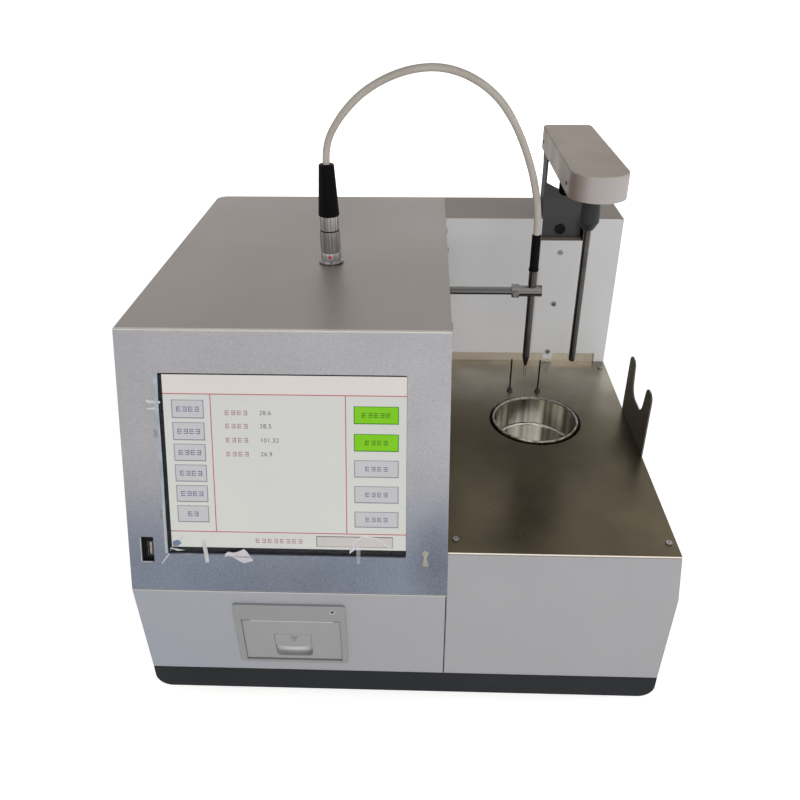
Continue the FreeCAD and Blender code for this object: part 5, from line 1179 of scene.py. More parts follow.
@dataclass
class SensorCable(Assembly):
    """Pale cable that arches from the plug to the igniter.

    The arch's corners are shares of the span between both ends, across and up.
    """

    radius: float = 3.5 * MM
    length: float = 0.3453
    sides: int = 10
    steps: int = 12
    merge: float = 0.01 * MM
    start: Triple = (168.0, 233.2125, 471.1166)
    end: Triple = (370.8, 226.0125, 406.0166)
    lead: float = 10.3
    drop: float = 18.0
    arch_shares: tuple[Pair, ...] = (
        (0.020, 0.128), (0.076, 0.214), (0.160, 0.303), (0.271, 0.372), (0.399, 0.416), (0.535, 0.424),
        (0.668, 0.382), (0.786, 0.298), (0.870, 0.177), (0.933, 0.039), (0.975, -0.092),
    )

    def _route(self) -> list[Vector]:
        """Runs up out of the boot, over in an arch and down to the igniter.

        Returns:
            The corners in the row frame.
        """
        x, y, z = self.start
        span = self.end[0] - x
        back = self.end[1] - y
        route = [bench(x, y, z), bench(x, y, z + self.lead)]
        for across, rise in self.arch_shares:
            route.append(bench(x + span * across, y + back * across, z + span * rise))
        low = bench(*self.end)
        return route + [low + Vector((0, 0, self.drop * MM)), low]

    def _curve(self, route: list[Vector]) -> bpy.types.Object:
        """Makes the route's smooth spline.

        Args:
            route: Its corners.

        Returns:
            The curve object.
        """
        line = bpy.data.curves.new("cable_line", "CURVE")
        line.dimensions = "3D"
        line.resolution_u = self.steps
        spline = line.splines.new("NURBS")
        spline.points.add(len(route) - 1)
        for point, place in zip(spline.points, route):
            point.co = (*place, 1.0)
        spline.order_u = 3
        spline.use_endpoint_u = True
        curve = bpy.data.objects.new("cable_line", line)
        bpy.context.scene.collection.objects.link(curve)
        return curve

    def build(self, nodes: dict[str, bpy.types.Object]) -> None:
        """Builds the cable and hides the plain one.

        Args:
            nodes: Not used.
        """
        route = self._route()
        curve = self._curve(route)
        bpy.context.view_layer.update()
        bare = bpy.data.meshes.new_from_object(curve)
        bpy.data.meshes.remove(bare)
        curve.data.bevel_depth = self.radius
        curve.data.bevel_resolution = self.sides // 2
        curve.data.use_fill_caps = True
        Hand.take(curve)
        bpy.ops.object.convert(target="MESH")
        cable = Hand.settle(Hand.named("cable"))
        with Hand.editing(cable):
            bpy.ops.mesh.select_all(action="SELECT")
            bpy.ops.mesh.remove_doubles(threshold=self.merge)
            bpy.ops.mesh.normals_make_consistent(inside=False)
        Hand.smooth(cable)
        self.wardrobe.dress(cable, "cable_sleeve")
        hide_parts("sensor_cable")
        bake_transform(cable)


@dataclass(frozen=True)
class Level:
    """Where a pad of the page starts, how thick it is and how wide its rim is, in millimetres."""

    out: float
    rise: float
    rim: float


@dataclass(frozen=True)
class Area:
    """Rectangle of the page, in shares of its width from the left and its height from the top."""

    left: float
    top: float
    right: float
    bottom: float


@dataclass(frozen=True)
class Lettering:
    """Blocks that stand for words: three bars and a stem each.

    Size and pitch are shares of the page's width, and what is below them are shares of half a block.
    """

    count: int
    finish: str
    size: float = 0.02
    pitch: float = 0.025
    bar_levels: Triple = (-0.8, 0.0, 0.8)
    bar_reach: float = 0.8
    bar_half: float = 0.16
    stem_side: float = 0.7
    stem_half: float = 0.14


@dataclass(frozen=True)
class KeyColumn:
    """Column of keys, from the top down, in shares of the page."""

    sides: Pair
    words_middle: float
    words_size: float
    heights: tuple[Pair, ...]
    words: tuple[int, ...]
    greens: int = 0


@dataclass
class ScreenPage(Assembly):
    """Lit page behind the glass: header, ruled lines, keys and reading rows."""

    left: float = 37.5
    width: float = 211.2
    height: float = 158.4
    top: float = 198.6
    face: float = -(3.0 + 1.8 + 0.5)
    page_level: Level = Level(0, 0.1, 0.2)
    header_level: Level = Level(0.1, 0.02, 0.01)
    line_level: Level = Level(0.1, 0.04, 0.02)
    key_level: Level = Level(0.1, 0.05, 0.02)
    key_face_level: Level = Level(0.1 + 0.05, 0.05, 0.02)
    mark_level: Level = Level(0.22, 0.04, 0.02)
    box_face_level: Level = Level(0.1 + 0.04, 0.02, 0.01)
    line_width: float = 0.9
    header_share: float = 0.107
    foot_share: float = 0.905
    left_rule: float = 0.195
    right_rule: float = 0.75
    key_border: float = 0.004
    key_foot: float = 0.0064
    columns: tuple[KeyColumn, ...] = (
        KeyColumn(
            sides=(0.033, 0.167), words_middle=0.1, words_size=0.022,
            heights=((0.14, 0.245), (0.267, 0.37), (0.39, 0.49), (0.51, 0.61), (0.63, 0.73), (0.75, 0.85)),
            words=(4, 4, 4, 4, 4, 2)),
        KeyColumn(
            sides=(0.783, 0.968), words_middle=0.8755, words_size=0.02,
            heights=((0.165, 0.265), (0.32, 0.42), (0.47, 0.57), (0.62, 0.72), (0.77, 0.865)),
            words=(5, 4, 4, 4, 4), greens=2),
    )
    row_heights: tuple[float, ...] = (0.21, 0.285, 0.365, 0.445)
    row_words: float = 0.262
    row_lettering: Lettering = Lettering(4, "mark_red")
    readings: tuple[str, ...] = ("28.6", "28.5", "101.32", "26.9")
    readings_left: float = 0.395
    figure_size: float = 5.6
    figure_rise: float = 0.03
    figure_spacing: float = 1.1
    foot_words: Pair = (0.37, 0.955)
    foot_lettering: Lettering = Lettering(8, "mark_red", pitch=0.026)
    box: Area = Area(0.62, 0.92, 0.945, 0.985)
    box_face: Area = Area(0.624, 0.926, 0.943, 0.982)

    def _place(self, piece: bpy.types.Object, u: float, v: float, out: float) -> bpy.types.Object:
        """Moves a flat piece to its shares of the page and onto the slope."""
        move = at(self.left + u * self.width, self.top - v * self.height, self.face + out)
        return Hand.settle(piece, ON_SLOPE @ move)

    def _pad(self, name: str, area: Area, level: Level, finish: str) -> bpy.types.Object:
        """Lays one flat pad over part of the page.

        Args:
            name: The pad's name.
            area: Where it lies.
            level: How far out it starts and how thick it is.
            finish: Its finish.

        Returns:
            The pad in its place.
        """
        width = abs(area.right - area.left) * self.width * MM
        height = abs(area.bottom - area.top) * self.height * MM
        pad = Hand.slab(name, width, height, level.rise * MM, level.rim * MM)
        self.wardrobe.dress(pad, finish)
        return self._place(pad, (area.left + area.right) / 2, (area.top + area.bottom) / 2, level.out)

    def _block(self, u: float, v: float, words: Lettering, stem_side: float) -> bpy.types.Object:
        """Models one block in place of a letter: three bars and a stem.

        Args:
            u: Its middle, as a share of the page's width.
            v: Its middle, as a share of the page's height.
            words: The row that it belongs to.
            stem_side: Where its stem stands, as a share of half a block.

        Returns:
            The block in its place.
        """
        half = words.size / 2
        tall = words.size * self.width / self.height * 0.5
        reach = half * words.bar_reach
        thick = tall * words.bar_half
        areas = []
        for level in words.bar_levels:
            middle = v + level * tall
            areas.append(Area(u - reach, middle - thick, u + reach, middle + thick))
        side = u + half * stem_side
        thick = half * words.stem_half
        areas.append(Area(side - thick, v - tall, side + thick, v + tall))
        return Hand.join("mark", [self._pad("mark", area, self.mark_level, words.finish) for area in areas])

    def _marks(self, u: float, v: float, words: Lettering) -> list[bpy.types.Object]:
        """Lays a row of small blocks in place of words.

        The first block has its stem on the left and the second on the right, and the others copy these two.

        Args:
            u: Middle of the first block, as a share of the page's width.
            v: Middle of the row, as a share of the page's height.
            words: The blocks.

        Returns:
            The blocks.
        """
        marks = [
            self._block(u, v, words, -words.stem_side),
            self._block(u + words.pitch, v, words, words.stem_side),
        ]
        step = Matrix.Translation((2 * words.pitch * self.width * MM, 0, 0))
        for i in range(2, words.count):
            marks.append(Hand.copy(marks[i - 2], step))
        return marks

    def _number(self, reading: str, u: float, v: float, finish: str) -> bpy.types.Object:
        """Lays one reading as flat figures.

        Args:
            reading: The figures.
            u: Left end, as a share of the page's width.
            v: Middle, as a share of the page's height.
            finish: Their finish.

        Returns:
            The figures in their place.
        """
        Hand.clear()
        bpy.ops.object.text_add()
        words = bpy.context.object
        words.data.body = reading
        words.data.size = self.figure_size * MM
        words.data.extrude = self.figure_rise * MM
        words.data.align_y = "CENTER"
        words.data.space_character = self.figure_spacing
        Hand.take(words)
        bpy.ops.object.convert(target="MESH")
        figures = Hand.named("reading")
        self.wardrobe.dress(figures, finish)
        return self._place(figures, u, v, self.mark_level.out)

    def build(self) -> None:
        """Builds the page and lets it ride with the housing."""
        header = Area(0, 0, 1, self.header_share)
        self._finish("screen_page", [
            self._pad("page", Area(0, 0, 1, 1), self.page_level, "page_white"),
            self._pad("header", header, self.header_level, "page_header"),
        ])
        half_u = self.line_width / self.width / 2
        half_v = self.line_width / self.height / 2
        lines = []
        for v in (self.header_share, self.foot_share):
            level_line = Area(0, v - half_v, 1, v + half_v)
            lines.append(self._pad("rule", level_line, self.line_level, "page_red"))
        for u in (self.left_rule, self.right_rule):
            upright_line = Area(u - half_u, self.header_share, u + half_u, self.foot_share)
            lines.append(self._pad("rule", upright_line, self.line_level, "page_red"))
        self._finish("screen_rules", lines)
        self._keys()
        self._rows()

    def _key(self, area: Area, green: bool) -> list[bpy.types.Object]:
        """Lays one key: a shaded surround with a lighter face on it.

        Args:
            area: Where it lies.
            green: Whether it is a green key.

        Returns:
            The surround and the face.
        """
        surround, face = ("key_green_shade", "key_green") if green else ("key_shade", "key_grey")
        edge = self.key_border
        inner = Area(area.left + edge, area.top + edge, area.right - edge, area.bottom - self.key_foot)
        return [
            self._pad("key", area, self.key_level, surround),
            self._pad("key", inner, self.key_face_level, face),
        ]

    def _keys(self) -> None:
        """Lays both columns of keys with their words."""
        keys = []
        marks = []
        for column in self.columns:
            for i, (top, bottom) in enumerate(column.heights):
                green = i < column.greens
                keys += self._key(Area(column.sides[0], top, column.sides[1], bottom), green)
                finish = "mark_green" if green else "mark_grey"
                words = Lettering(column.words[i], finish, column.words_size)
                start = column.words_middle - (words.count - 1) * words.pitch / 2
                marks += self._marks(start, (top + bottom) / 2, words)
        self._finish("screen_keys", keys)
        self._finish("screen_key_marks", marks)

    def _rows(self) -> None:
        """Lays the reading rows, the foot line and its sunken box."""
        rows = []
        for v, reading in zip(self.row_heights, self.readings):
            rows += self._marks(self.row_words, v, self.row_lettering)
            rows.append(self._number(reading, self.readings_left, v, "mark_dark"))
        rows += self._marks(*self.foot_words, self.foot_lettering)
        rows.append(self._pad("box", self.box, self.line_level, "box_shade"))
        rows.append(self._pad("box", self.box_face, self.box_face_level, "box_page"))
        self._finish("screen_rows", rows)

    @staticmethod
    def _finish(name: str, pieces: list[bpy.types.Object]) -> None:
        """Joins a layer of the page and lets it ride.

        Args:
            name: The layer's name.
            pieces: What it is made of.
        """
        layer = Hand.join(name, pieces)
        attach(layer, "housing")
        LOG.info("%s: %d parts", name, len(pieces))


@dataclass
class ProtectiveFilm(Assembly):
    """Leftover clear film round the window, with scraps and creases at its edges, and painted highlights
    where its creases and edge catch the light.

    Outlines are in millimetres from the left side and up from the fold.
    """

    out: float = 0.12
    rise: float = 0.08
    crease: float = 0.15
    light_crease: float = 0.1
    sheet: Outline = (
        (258.7, 207.5), (262.0, 120.0), (264.0, 33.0), (190.0, 32.0), (110.0, 30.0), (36.0, 31.0),
        (22.0, 40.0), (23.0, 120.0), (23.7, 210.8), (140.0, 209.0),
    )
    # Painted highlights where the film's creases catch the light
    glints: tuple[Outline, ...] = (
        ((23.9, 177.3), (25.4, 174.2), (36.7, 174.0), (36.9, 176.0)),
        ((24.3, 169.8), (25.9, 168.2), (34.7, 169.4), (34.9, 171.0)),
        ((37.0, 41.2), (44.0, 38.4), (51.0, 39.2), (43.0, 40.6)),
        ((29.1, 25.3), (36.9, 35.2), (35.9, 36.0), (29.4, 27.0)),
        ((33.0, 160.0), (33.1, 110.0), (33.0, 40.0), (34.4, 40.0), (34.8, 110.0), (34.2, 160.0)),
    )
    # Fainter painted highlights on the film
    faint_glints: tuple[Outline, ...] = (
        ((29.2, 151.2), (29.6, 144.0), (33.4, 143.2), (34.3, 150.4)),
        ((30.5, 76.9), (30.9, 68.4), (35.0, 69.5), (35.1, 77.9)),
        ((204.4, 46.1), (205.2, 29.3), (208.0, 29.3), (208.7, 46.2)),
        ((36.5, 37.0), (38.0, 41.5), (50.0, 51.5), (49.0, 52.0)),
        ((49.9, 35.0), (120.0, 32.6), (120.0, 33.6), (50.0, 36.4)),
    )
    scraps: tuple[tuple[str, Outline], ...] = (
        ("film_tab", ((66.4, 49.4), (67.6, 38.0), (69.0, 27.8), (72.2, 27.8), (71.6, 38.0), (69.2, 49.4))),
        ("film_white", ((86.5, 33.2), (89.7, 34.3), (94.0, 33.3), (100.0, 29.4), (103.7, 27.5),
                        (112.2, 30.3), (107.2, 38.2), (104.2, 41.4), (97.9, 38.4), (94.2, 37.6),
                        (89.9, 38.5), (86.9, 36.5))),
        ("film_white", ((198.5, 38.4), (200.9, 40.4), (204.5, 43.3), (202.7, 47.1), (199.2, 44.2))),
        ("film_beige", ((263.7, 28.3), (269.1, 27.6), (267.3, 36.0), (269.5, 40.9), (265.8, 43.2),
                        (263.4, 40.7), (265.0, 36.0))),
        ("film_blue", ((40.1, 42.9), (44.7, 43.0), (48.4, 46.0), (45.0, 49.2), (40.1, 47.7))),
    )
    # Light strip along the window's left edge: a painted highlight on the film's edge
    edge: Outline = (
        (31.7, 201.0), (32.3, 170.0), (32.6, 120.0), (32.8, 36.0), (35.4, 36.0), (35.6, 120.0), (35.3, 170.0),
        (35.9, 201.0),
    )
    # Arc of painted highlight along a crease
    arc: Outline = (
        (198.5, 38.7), (202.2, 50.0), (210.3, 55.6), (222.4, 54.2), (235.9, 44.7),
        (235.2, 44.0), (222.0, 53.2), (210.6, 54.5), (203.2, 49.4), (199.5, 38.9),
    )

    def _lay(self, name: str, corners: Outline, finish: str, crease: float = 0.0) -> bpy.types.Object:
        """Lays one scrap on the screen's front.

        Args:
            name: The scrap's name.
            corners: Its outline in millimetres, along and up the front.
            finish: The film's finish.
            crease: How strongly it crinkles.

        Returns:
            The scrap in its place.
        """
        scrap = Hand.patch(name, corners, self.rise, crease)
        self.wardrobe.dress(scrap, finish)
        return Hand.settle(scrap, ON_SLOPE @ at(0, 0, self.out))

    def build(self) -> None:
        """Builds the sheet, its glints and its loose scraps."""
        pieces = [self._lay("sheet", self.sheet, "film_clear")]
        # Glints and faint glints are painted highlights
        for i, corners in enumerate(self.glints):
            pieces.append(self._lay(f"glint_{i}", corners, "film_glint", self.light_crease))
        for i, corners in enumerate(self.faint_glints):
            pieces.append(self._lay(f"faint_glint_{i}", corners, "film_faint_glint", self.light_crease))
        for i, (finish, corners) in enumerate(self.scraps):
            pieces.append(self._lay(f"scrap_{i}", corners, finish, self.crease))
        # The edge strip and the arc are painted highlights
        pieces.append(self._lay("edge", self.edge, "film_edge_highlight"))
        pieces.append(self._lay("arc", self.arc, "film_glint"))
        film = Hand.join("screen_film", pieces)
        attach(film, "housing")
        LOG.info("screen_film: %d scraps", len(pieces))


@dataclass(frozen=True)
class Lip:
    """Pale edge beside the memory-stick opening, by its size and its middle in millimetres."""

    width: float
    height: float
    x: float
    v: float


@dataclass
class UsbLiner(Assembly):
    """Bright rim and contact tongue inside the memory-stick opening."""

    middle_x: float = 18.8
    middle_v: float = 39.3
    width: float = 5.1
    height: float = 13.5
    wall: float = 0.45
    back: float = -5.8
    front: float = -2.6
    tongue_width: float = 1.9
    tongue_height: float = 11.2
    tongue_share: float = 0.75
    tongue_rim: float = 0.2
    sink_share: float = 0.8
    base_gap: float = 0.05
    contacts: int = 4
    contact_width: float = 0.3
    contact_height: float = 1.4
    contact_share: float = 0.9
    contact_rim: float = 0.05
    contact_pitch: float = 0.22
    lip_rise: float = 0.12
    lip_rim: float = 0.1
    lips: tuple[Lip, ...] = (
        Lip(width=0.8, height=23.0, x=10.9, v=39.0), Lip(width=9.0, height=0.7, x=16.2, v=27.3),
    )

    def _tube(self) -> bpy.types.Object:
        """Models the rectangular tube round the socket's mouth.

        Returns:
            The tube, its base centred on the origin.
        """
        depth = self.front - self.back
        tube = Hand.slab("usb_tube", self.width * MM, self.height * MM, depth * MM, self.wall * MM)
        top = 0.9 * depth * MM
        inner = (self.width / 2 - 1.5 * self.wall) * MM
        with Hand.editing(tube) as mesh:
            Hand.pick_faces(mesh, lambda face: face.calc_center_median().z > top
                            and abs(face.calc_center_median().x) < inner
                            and abs(face.calc_center_median().y) < 3 * inner)
            sink = (0, 0, -self.sink_share * depth * MM)
            bpy.ops.mesh.extrude_region_move(TRANSFORM_OT_translate={"value": sink})
        return tube

    def _tongue(self) -> list[bpy.types.Object]:
        """Models the tongue, and one contact that is copied along it.

        Returns:
            The tongue and its contacts in their places.
        """
        depth = self.tongue_share * (self.front - self.back)
        low = self.back + self.base_gap
        tongue = Hand.slab(
            "usb_tongue", self.tongue_width * MM, self.tongue_height * MM, depth * MM, self.tongue_rim * MM)
        self.wardrobe.dress(tongue, "tongue_beige")
        pieces = [Hand.settle(tongue, ON_SLOPE @ at(self.middle_x, self.middle_v, low))]
        contact = Hand.slab(
            "contact", self.contact_width * MM, self.contact_height * MM,
            self.contact_share * depth * MM, self.contact_rim * MM)
        self.wardrobe.dress(contact, "bright_steel")
        x = self.middle_x - self.tongue_width / 2
        for i in range(self.contacts):
            v = self.middle_v + (i - (self.contacts - 1) / 2) * self.contact_pitch * self.tongue_height
            pieces.append(Hand.copy(contact, ON_SLOPE @ at(x, v, low)))
        bpy.data.objects.remove(contact)
        return pieces

    def build(self) -> None:
        """Builds the rim, the lips and the tongue."""
        tube = self._tube()
        self.wardrobe.dress(tube, "bright_steel")
        pieces = [Hand.settle(tube, ON_SLOPE @ at(self.middle_x, self.middle_v, self.back))]
        for lip in self.lips:
            strip = Hand.slab(
                "usb_lip", lip.width * MM, lip.height * MM, self.lip_rise * MM, self.lip_rim * MM)
            self.wardrobe.dress(strip, "tear_plastic")
            pieces.append(Hand.settle(strip, ON_SLOPE @ at(lip.x, lip.v, 0.0)))
        liner = Hand.join("usb_liner", pieces + self._tongue())
        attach(liner, "housing")
        LOG.info("usb_liner: rim, tongue and %d contacts", self.contacts)


@dataclass
class PlugRings(Assembly):
    """Dark seam, smooth band and index dot on the cable's plug."""

    x: float = 168.0
    y: float = 233.2125
    grip_low: float = TOP_Z + 4.2
    grip_height: float = 29.0
    seam_radius: float = 9.45
    seam_height: float = 1.3
    band_radius: float = 10.35
    band_height: float = 7.0
    dot_radius: float = 1.5
    dot_rise: float = 0.35
    dot_stretch: float = 1.2
    dot_share: float = 0.55
    sides: int = 56
    wall: float = 0.9
    ease: float = 0.2
    seam_overlap: float = 0.2
    band_gap: float = 0.6

    def _ring(self, name: str, radius: float, height: float, low: float) -> bpy.types.Object:
        """Thin turned ring with eased edges.

        Args:
            name: The ring's name.
            radius: Its outer radius.
            height: Its height.
            low: Height of its lower edge above the bench.

        Returns:
            The ring in its place.
        """
        Hand.clear()
        bpy.ops.mesh.primitive_cylinder_add(
            vertices=self.sides, radius=radius * MM, depth=height * MM, end_fill_type="NOTHING")
        ring = Hand.settle(Hand.named(name), Matrix.Translation(bench(self.x, self.y, low + height / 2)))
        with Hand.editing(ring):
            bpy.ops.mesh.select_all(action="SELECT")
            bpy.ops.mesh.normals_make_consistent(inside=False)
        wall = ring.modifiers.new("wall", "SOLIDIFY")
        wall.thickness = self.wall * MM
        wall.offset = -1.0
        ease = ring.modifiers.new("ease", "BEVEL")
        ease.width = self.ease * MM
        ease.segments = 2
        Hand.apply_modifiers(ring)
        Hand.smooth(ring, degrees=40.0)
        return ring

    def _dot(self, low: float) -> bpy.types.Object:
        """Models the flattened red dot that faces the front.

        Args:
            low: Height of its middle above the bench.

        Returns:
            The dot in its place.
        """
        Hand.clear()
        bpy.ops.mesh.primitive_uv_sphere_add(segments=24, ring_count=12, radius=self.dot_radius * MM)
        dot = Hand.named("index_dot")
        with Hand.editing(dot):
            bpy.ops.mesh.select_all(action="SELECT")
            squash = self.dot_rise / self.dot_radius
            bpy.ops.transform.resize(value=(1.0, squash, self.dot_stretch))
        Hand.smooth(dot, degrees=60.0)
        return Hand.settle(dot, Matrix.Translation(bench(self.x, self.y - self.band_radius, low)))

    def build(self) -> None:
        """Builds the seam, the band and the dot."""
        seam_low = self.grip_low + self.grip_height - self.seam_overlap
        seam = self._ring("plug_seam", self.seam_radius, self.seam_height, seam_low)
        self.wardrobe.dress(seam, "black_plastic")
        band_low = self.grip_low + self.band_gap
        band = self._ring("plug_band", self.band_radius, self.band_height, band_low)
        self.wardrobe.dress(band, "band_metal")
        dot = self._dot(band_low + self.dot_share * self.band_height)
        self.wardrobe.dress(dot, "index_red")
        rings = Hand.join("plug_rings", [seam, band, dot])
        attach(rings, "housing")
        LOG.info("plug_rings: seam, band and dot")


@dataclass
class PrinterTrim(Assembly):
    """Tear bar above the printer's door, its lamp's lens and a plain mark on the latch."""

    bar_left: float = 104.0
    bar_right: float = 182.0
    bar_v: float = 71.5
    bar_height: float = 0.8
    bar_face: float = 2.1
    bar_rise: float = 1.0
    teeth: int = 26
    tooth_height: float = 0.8
    tooth_share: float = 0.6
    tooth_rise_share: float = 0.8
    bar_rim: float = 0.15
    tooth_rim: float = 0.1
    lamp_x: float = 181.7
    lamp_v: float = 86.0
    lamp_face: float = 2.5
    lens_radius: float = 2.1
    lens_rise: float = 0.7
    lens_out: float = 0.05
    dome: float = 0.5
    mark_x: float = 143.3
    mark_v: float = 47.0
    mark_size: float = 7.4
    mark_bars: int = 3
    mark_narrowing: float = 0.28
    mark_bar_share: float = 0.5
    mark_rise: float = 0.05
    mark_rim: float = 0.02
    latch_face: float = 1.3

    def _bar(self) -> bpy.types.Object:
        """Models the bar, with a row of teeth on its upper edge.

        Returns:
            The bar in its place.
        """
        width = self.bar_right - self.bar_left
        low = self.bar_face - self.bar_rise
        middle = (self.bar_left + self.bar_right) / 2
        bar = Hand.slab(
            "tear_bar", width * MM, self.bar_height * MM, self.bar_rise * MM, self.bar_rim * MM)
        Hand.settle(bar, at(middle, self.bar_v, low))
        pitch = width / self.teeth
        tooth = Hand.slab(
            "tooth", self.tooth_share * pitch * MM, self.tooth_height * MM,
            self.tooth_rise_share * self.bar_rise * MM, self.tooth_rim * MM)
        pieces = [bar]
        for i in range(self.teeth):
            x = self.bar_left + (i + 0.5) * pitch
            pieces.append(Hand.copy(tooth, at(x, self.bar_v + self.bar_height / 2, low)))
        bpy.data.objects.remove(tooth)
        joined = Hand.join("tear_bar", pieces)
        self.wardrobe.dress(joined, "tear_plastic")
        return Hand.settle(joined, ON_APRON)

    def _lens(self) -> bpy.types.Object:
        """Models the lamp's small dark domed lens.

        Returns:
            The lens in its place.
        """
        Hand.clear()
        bpy.ops.mesh.primitive_cylinder_add(
            vertices=32, radius=self.lens_radius * MM, depth=self.lens_rise * MM)
        lens = Hand.named("lamp_lens")
        with Hand.editing(lens) as mesh:
            Hand.pick_faces(mesh, above(0.4 * self.lens_rise * MM))
            bpy.ops.mesh.bevel(offset=self.dome * MM, segments=4, profile=0.5, affect="EDGES")
        Hand.smooth(lens, degrees=50.0)
        self.wardrobe.dress(lens, "lamp_lens")
        out = self.lamp_face + self.lens_out
        return Hand.settle(lens, ON_APRON @ at(self.lamp_x, self.lamp_v, out))

    def _mark(self) -> list[bpy.types.Object]:
        """Models a plain mark of short bars, each narrower than the one above.

        Returns:
            The bars in their places.
        """
        pieces = []
        pitch = self.mark_size / self.mark_bars
        for i in range(self.mark_bars):
            width = self.mark_size * (1.0 - self.mark_narrowing * i)
            bar = Hand.slab(
                "mark_bar", width * MM, self.mark_bar_share * pitch * MM, self.mark_rise * MM,
                self.mark_rim * MM)
            self.wardrobe.dress(bar, "mark_print")
            v = self.mark_v + (1 - i) * pitch
            pieces.append(Hand.settle(bar, ON_APRON @ at(self.mark_x, v, self.latch_face)))
        return pieces

    def build(self) -> None:
        """Builds the trim and lets each piece ride with its own body."""
        trim = Hand.join("printer_trim", [self._bar(), self._lens()])
        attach(trim, "housing")
        mark = Hand.join("latch_mark", self._mark())
        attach(mark, "flap")
        LOG.info("printer_trim: bar with %d teeth and lens", self.teeth)
        LOG.info("latch_mark: %d bars", self.mark_bars)


@dataclass
class CupRim(Assembly):
    """Crinkled rolled lip round the cup's mouth."""

    x: float = 388.4
    y: float = 234.8125
    z: float = 187.9
    radius: float = 46.35
    lip_radius: float = 1.5
    crinkle: float = 0.7
    round_steps: int = 180
    lip_steps: int = 14
    seed: int = 4

    def build(self) -> None:
        """Builds the lip."""
        Hand.clear()
        bpy.ops.mesh.primitive_torus_add(
            major_segments=self.round_steps, minor_segments=self.lip_steps,
            major_radius=self.radius * MM, minor_radius=self.lip_radius * MM)
        lip = Hand.named("cup_lip")
        with Hand.editing(lip):
            bpy.ops.mesh.select_all(action="SELECT")
            bpy.ops.transform.vertex_random(offset=self.crinkle * MM, seed=self.seed)
            bpy.ops.mesh.vertices_smooth(factor=0.5, repeat=2)
        Hand.smooth(lip, degrees=80.0)
        self.wardrobe.dress(lip, "cup_rim")
        Hand.settle(lip, Matrix.Translation(bench(self.x, self.y, self.z)))
        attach(lip, "cup")
        LOG.info("cup_lip: %.0f mm across", 2 * self.radius)


@dataclass
class PanelSeamShade(Assembly):
    """Black strip of painted shade in the seam where the lower panel meets the work unit's cover."""

    x: float = 285.3
    width: float = 0.9
    length: float = 106.5
    low: float = 0.4
    rise: float = 0.08
    rim: float = 0.1
    narrowing: float = 0.8

    def build(self) -> None:
        """Builds the strip of painted shade."""
        seam = Hand.slab(
            "panel_seam_shade", self.width * MM, self.length * MM, self.rise * MM, self.rim * MM)
        with Hand.editing(seam) as mesh:
            Hand.pick_faces(mesh, above(0.75 * self.rise * MM))
            bpy.ops.transform.resize(value=(self.narrowing, 1.0, 1.0), center_override=(0, 0, 0))
        # The black finish here is painted shade in the gap
        self.wardrobe.dress(seam, "black_rubber")
        Hand.settle(seam, ON_APRON @ at(self.x, self.length / 2 + self.low, 0.0))
        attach(seam, "housing")
        LOG.info("panel_seam_shade: %.0f mm long", self.length)


@dataclass
class ForkGapShade(Assembly):
    """Short black strip on the deck's edge against the fork plate: painted shade in the gap between them."""

    x: float = 492.4
    front: float = 204.0
    back: float = 234.5
    width: float = 1.9
    rise: float = 0.6
    rim: float = 0.3
    narrowing: float = 0.4

    def build(self) -> None:
        """Builds the strip of painted shade."""
        length = self.back - self.front
        pad = Hand.slab("fork_gap_shade", self.width * MM, length * MM, self.rise * MM, self.rim * MM)
        with Hand.editing(pad) as mesh:
            Hand.pick_faces(mesh, lambda face: abs(face.calc_center_median().y) > 0.49 * length * MM)
            bpy.ops.transform.resize(value=(self.narrowing, 1.0, 1.0), center_override=(0, 0, 0))
        # The black finish here is painted shade in the gap
        self.wardrobe.dress(pad, "black_rubber")
        Hand.settle(pad, Matrix.Translation(bench(self.x, (self.front + self.back) / 2, DECK_Z)))
        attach(pad, "housing")
        LOG.info("fork_gap_shade: %.0f mm long", length)


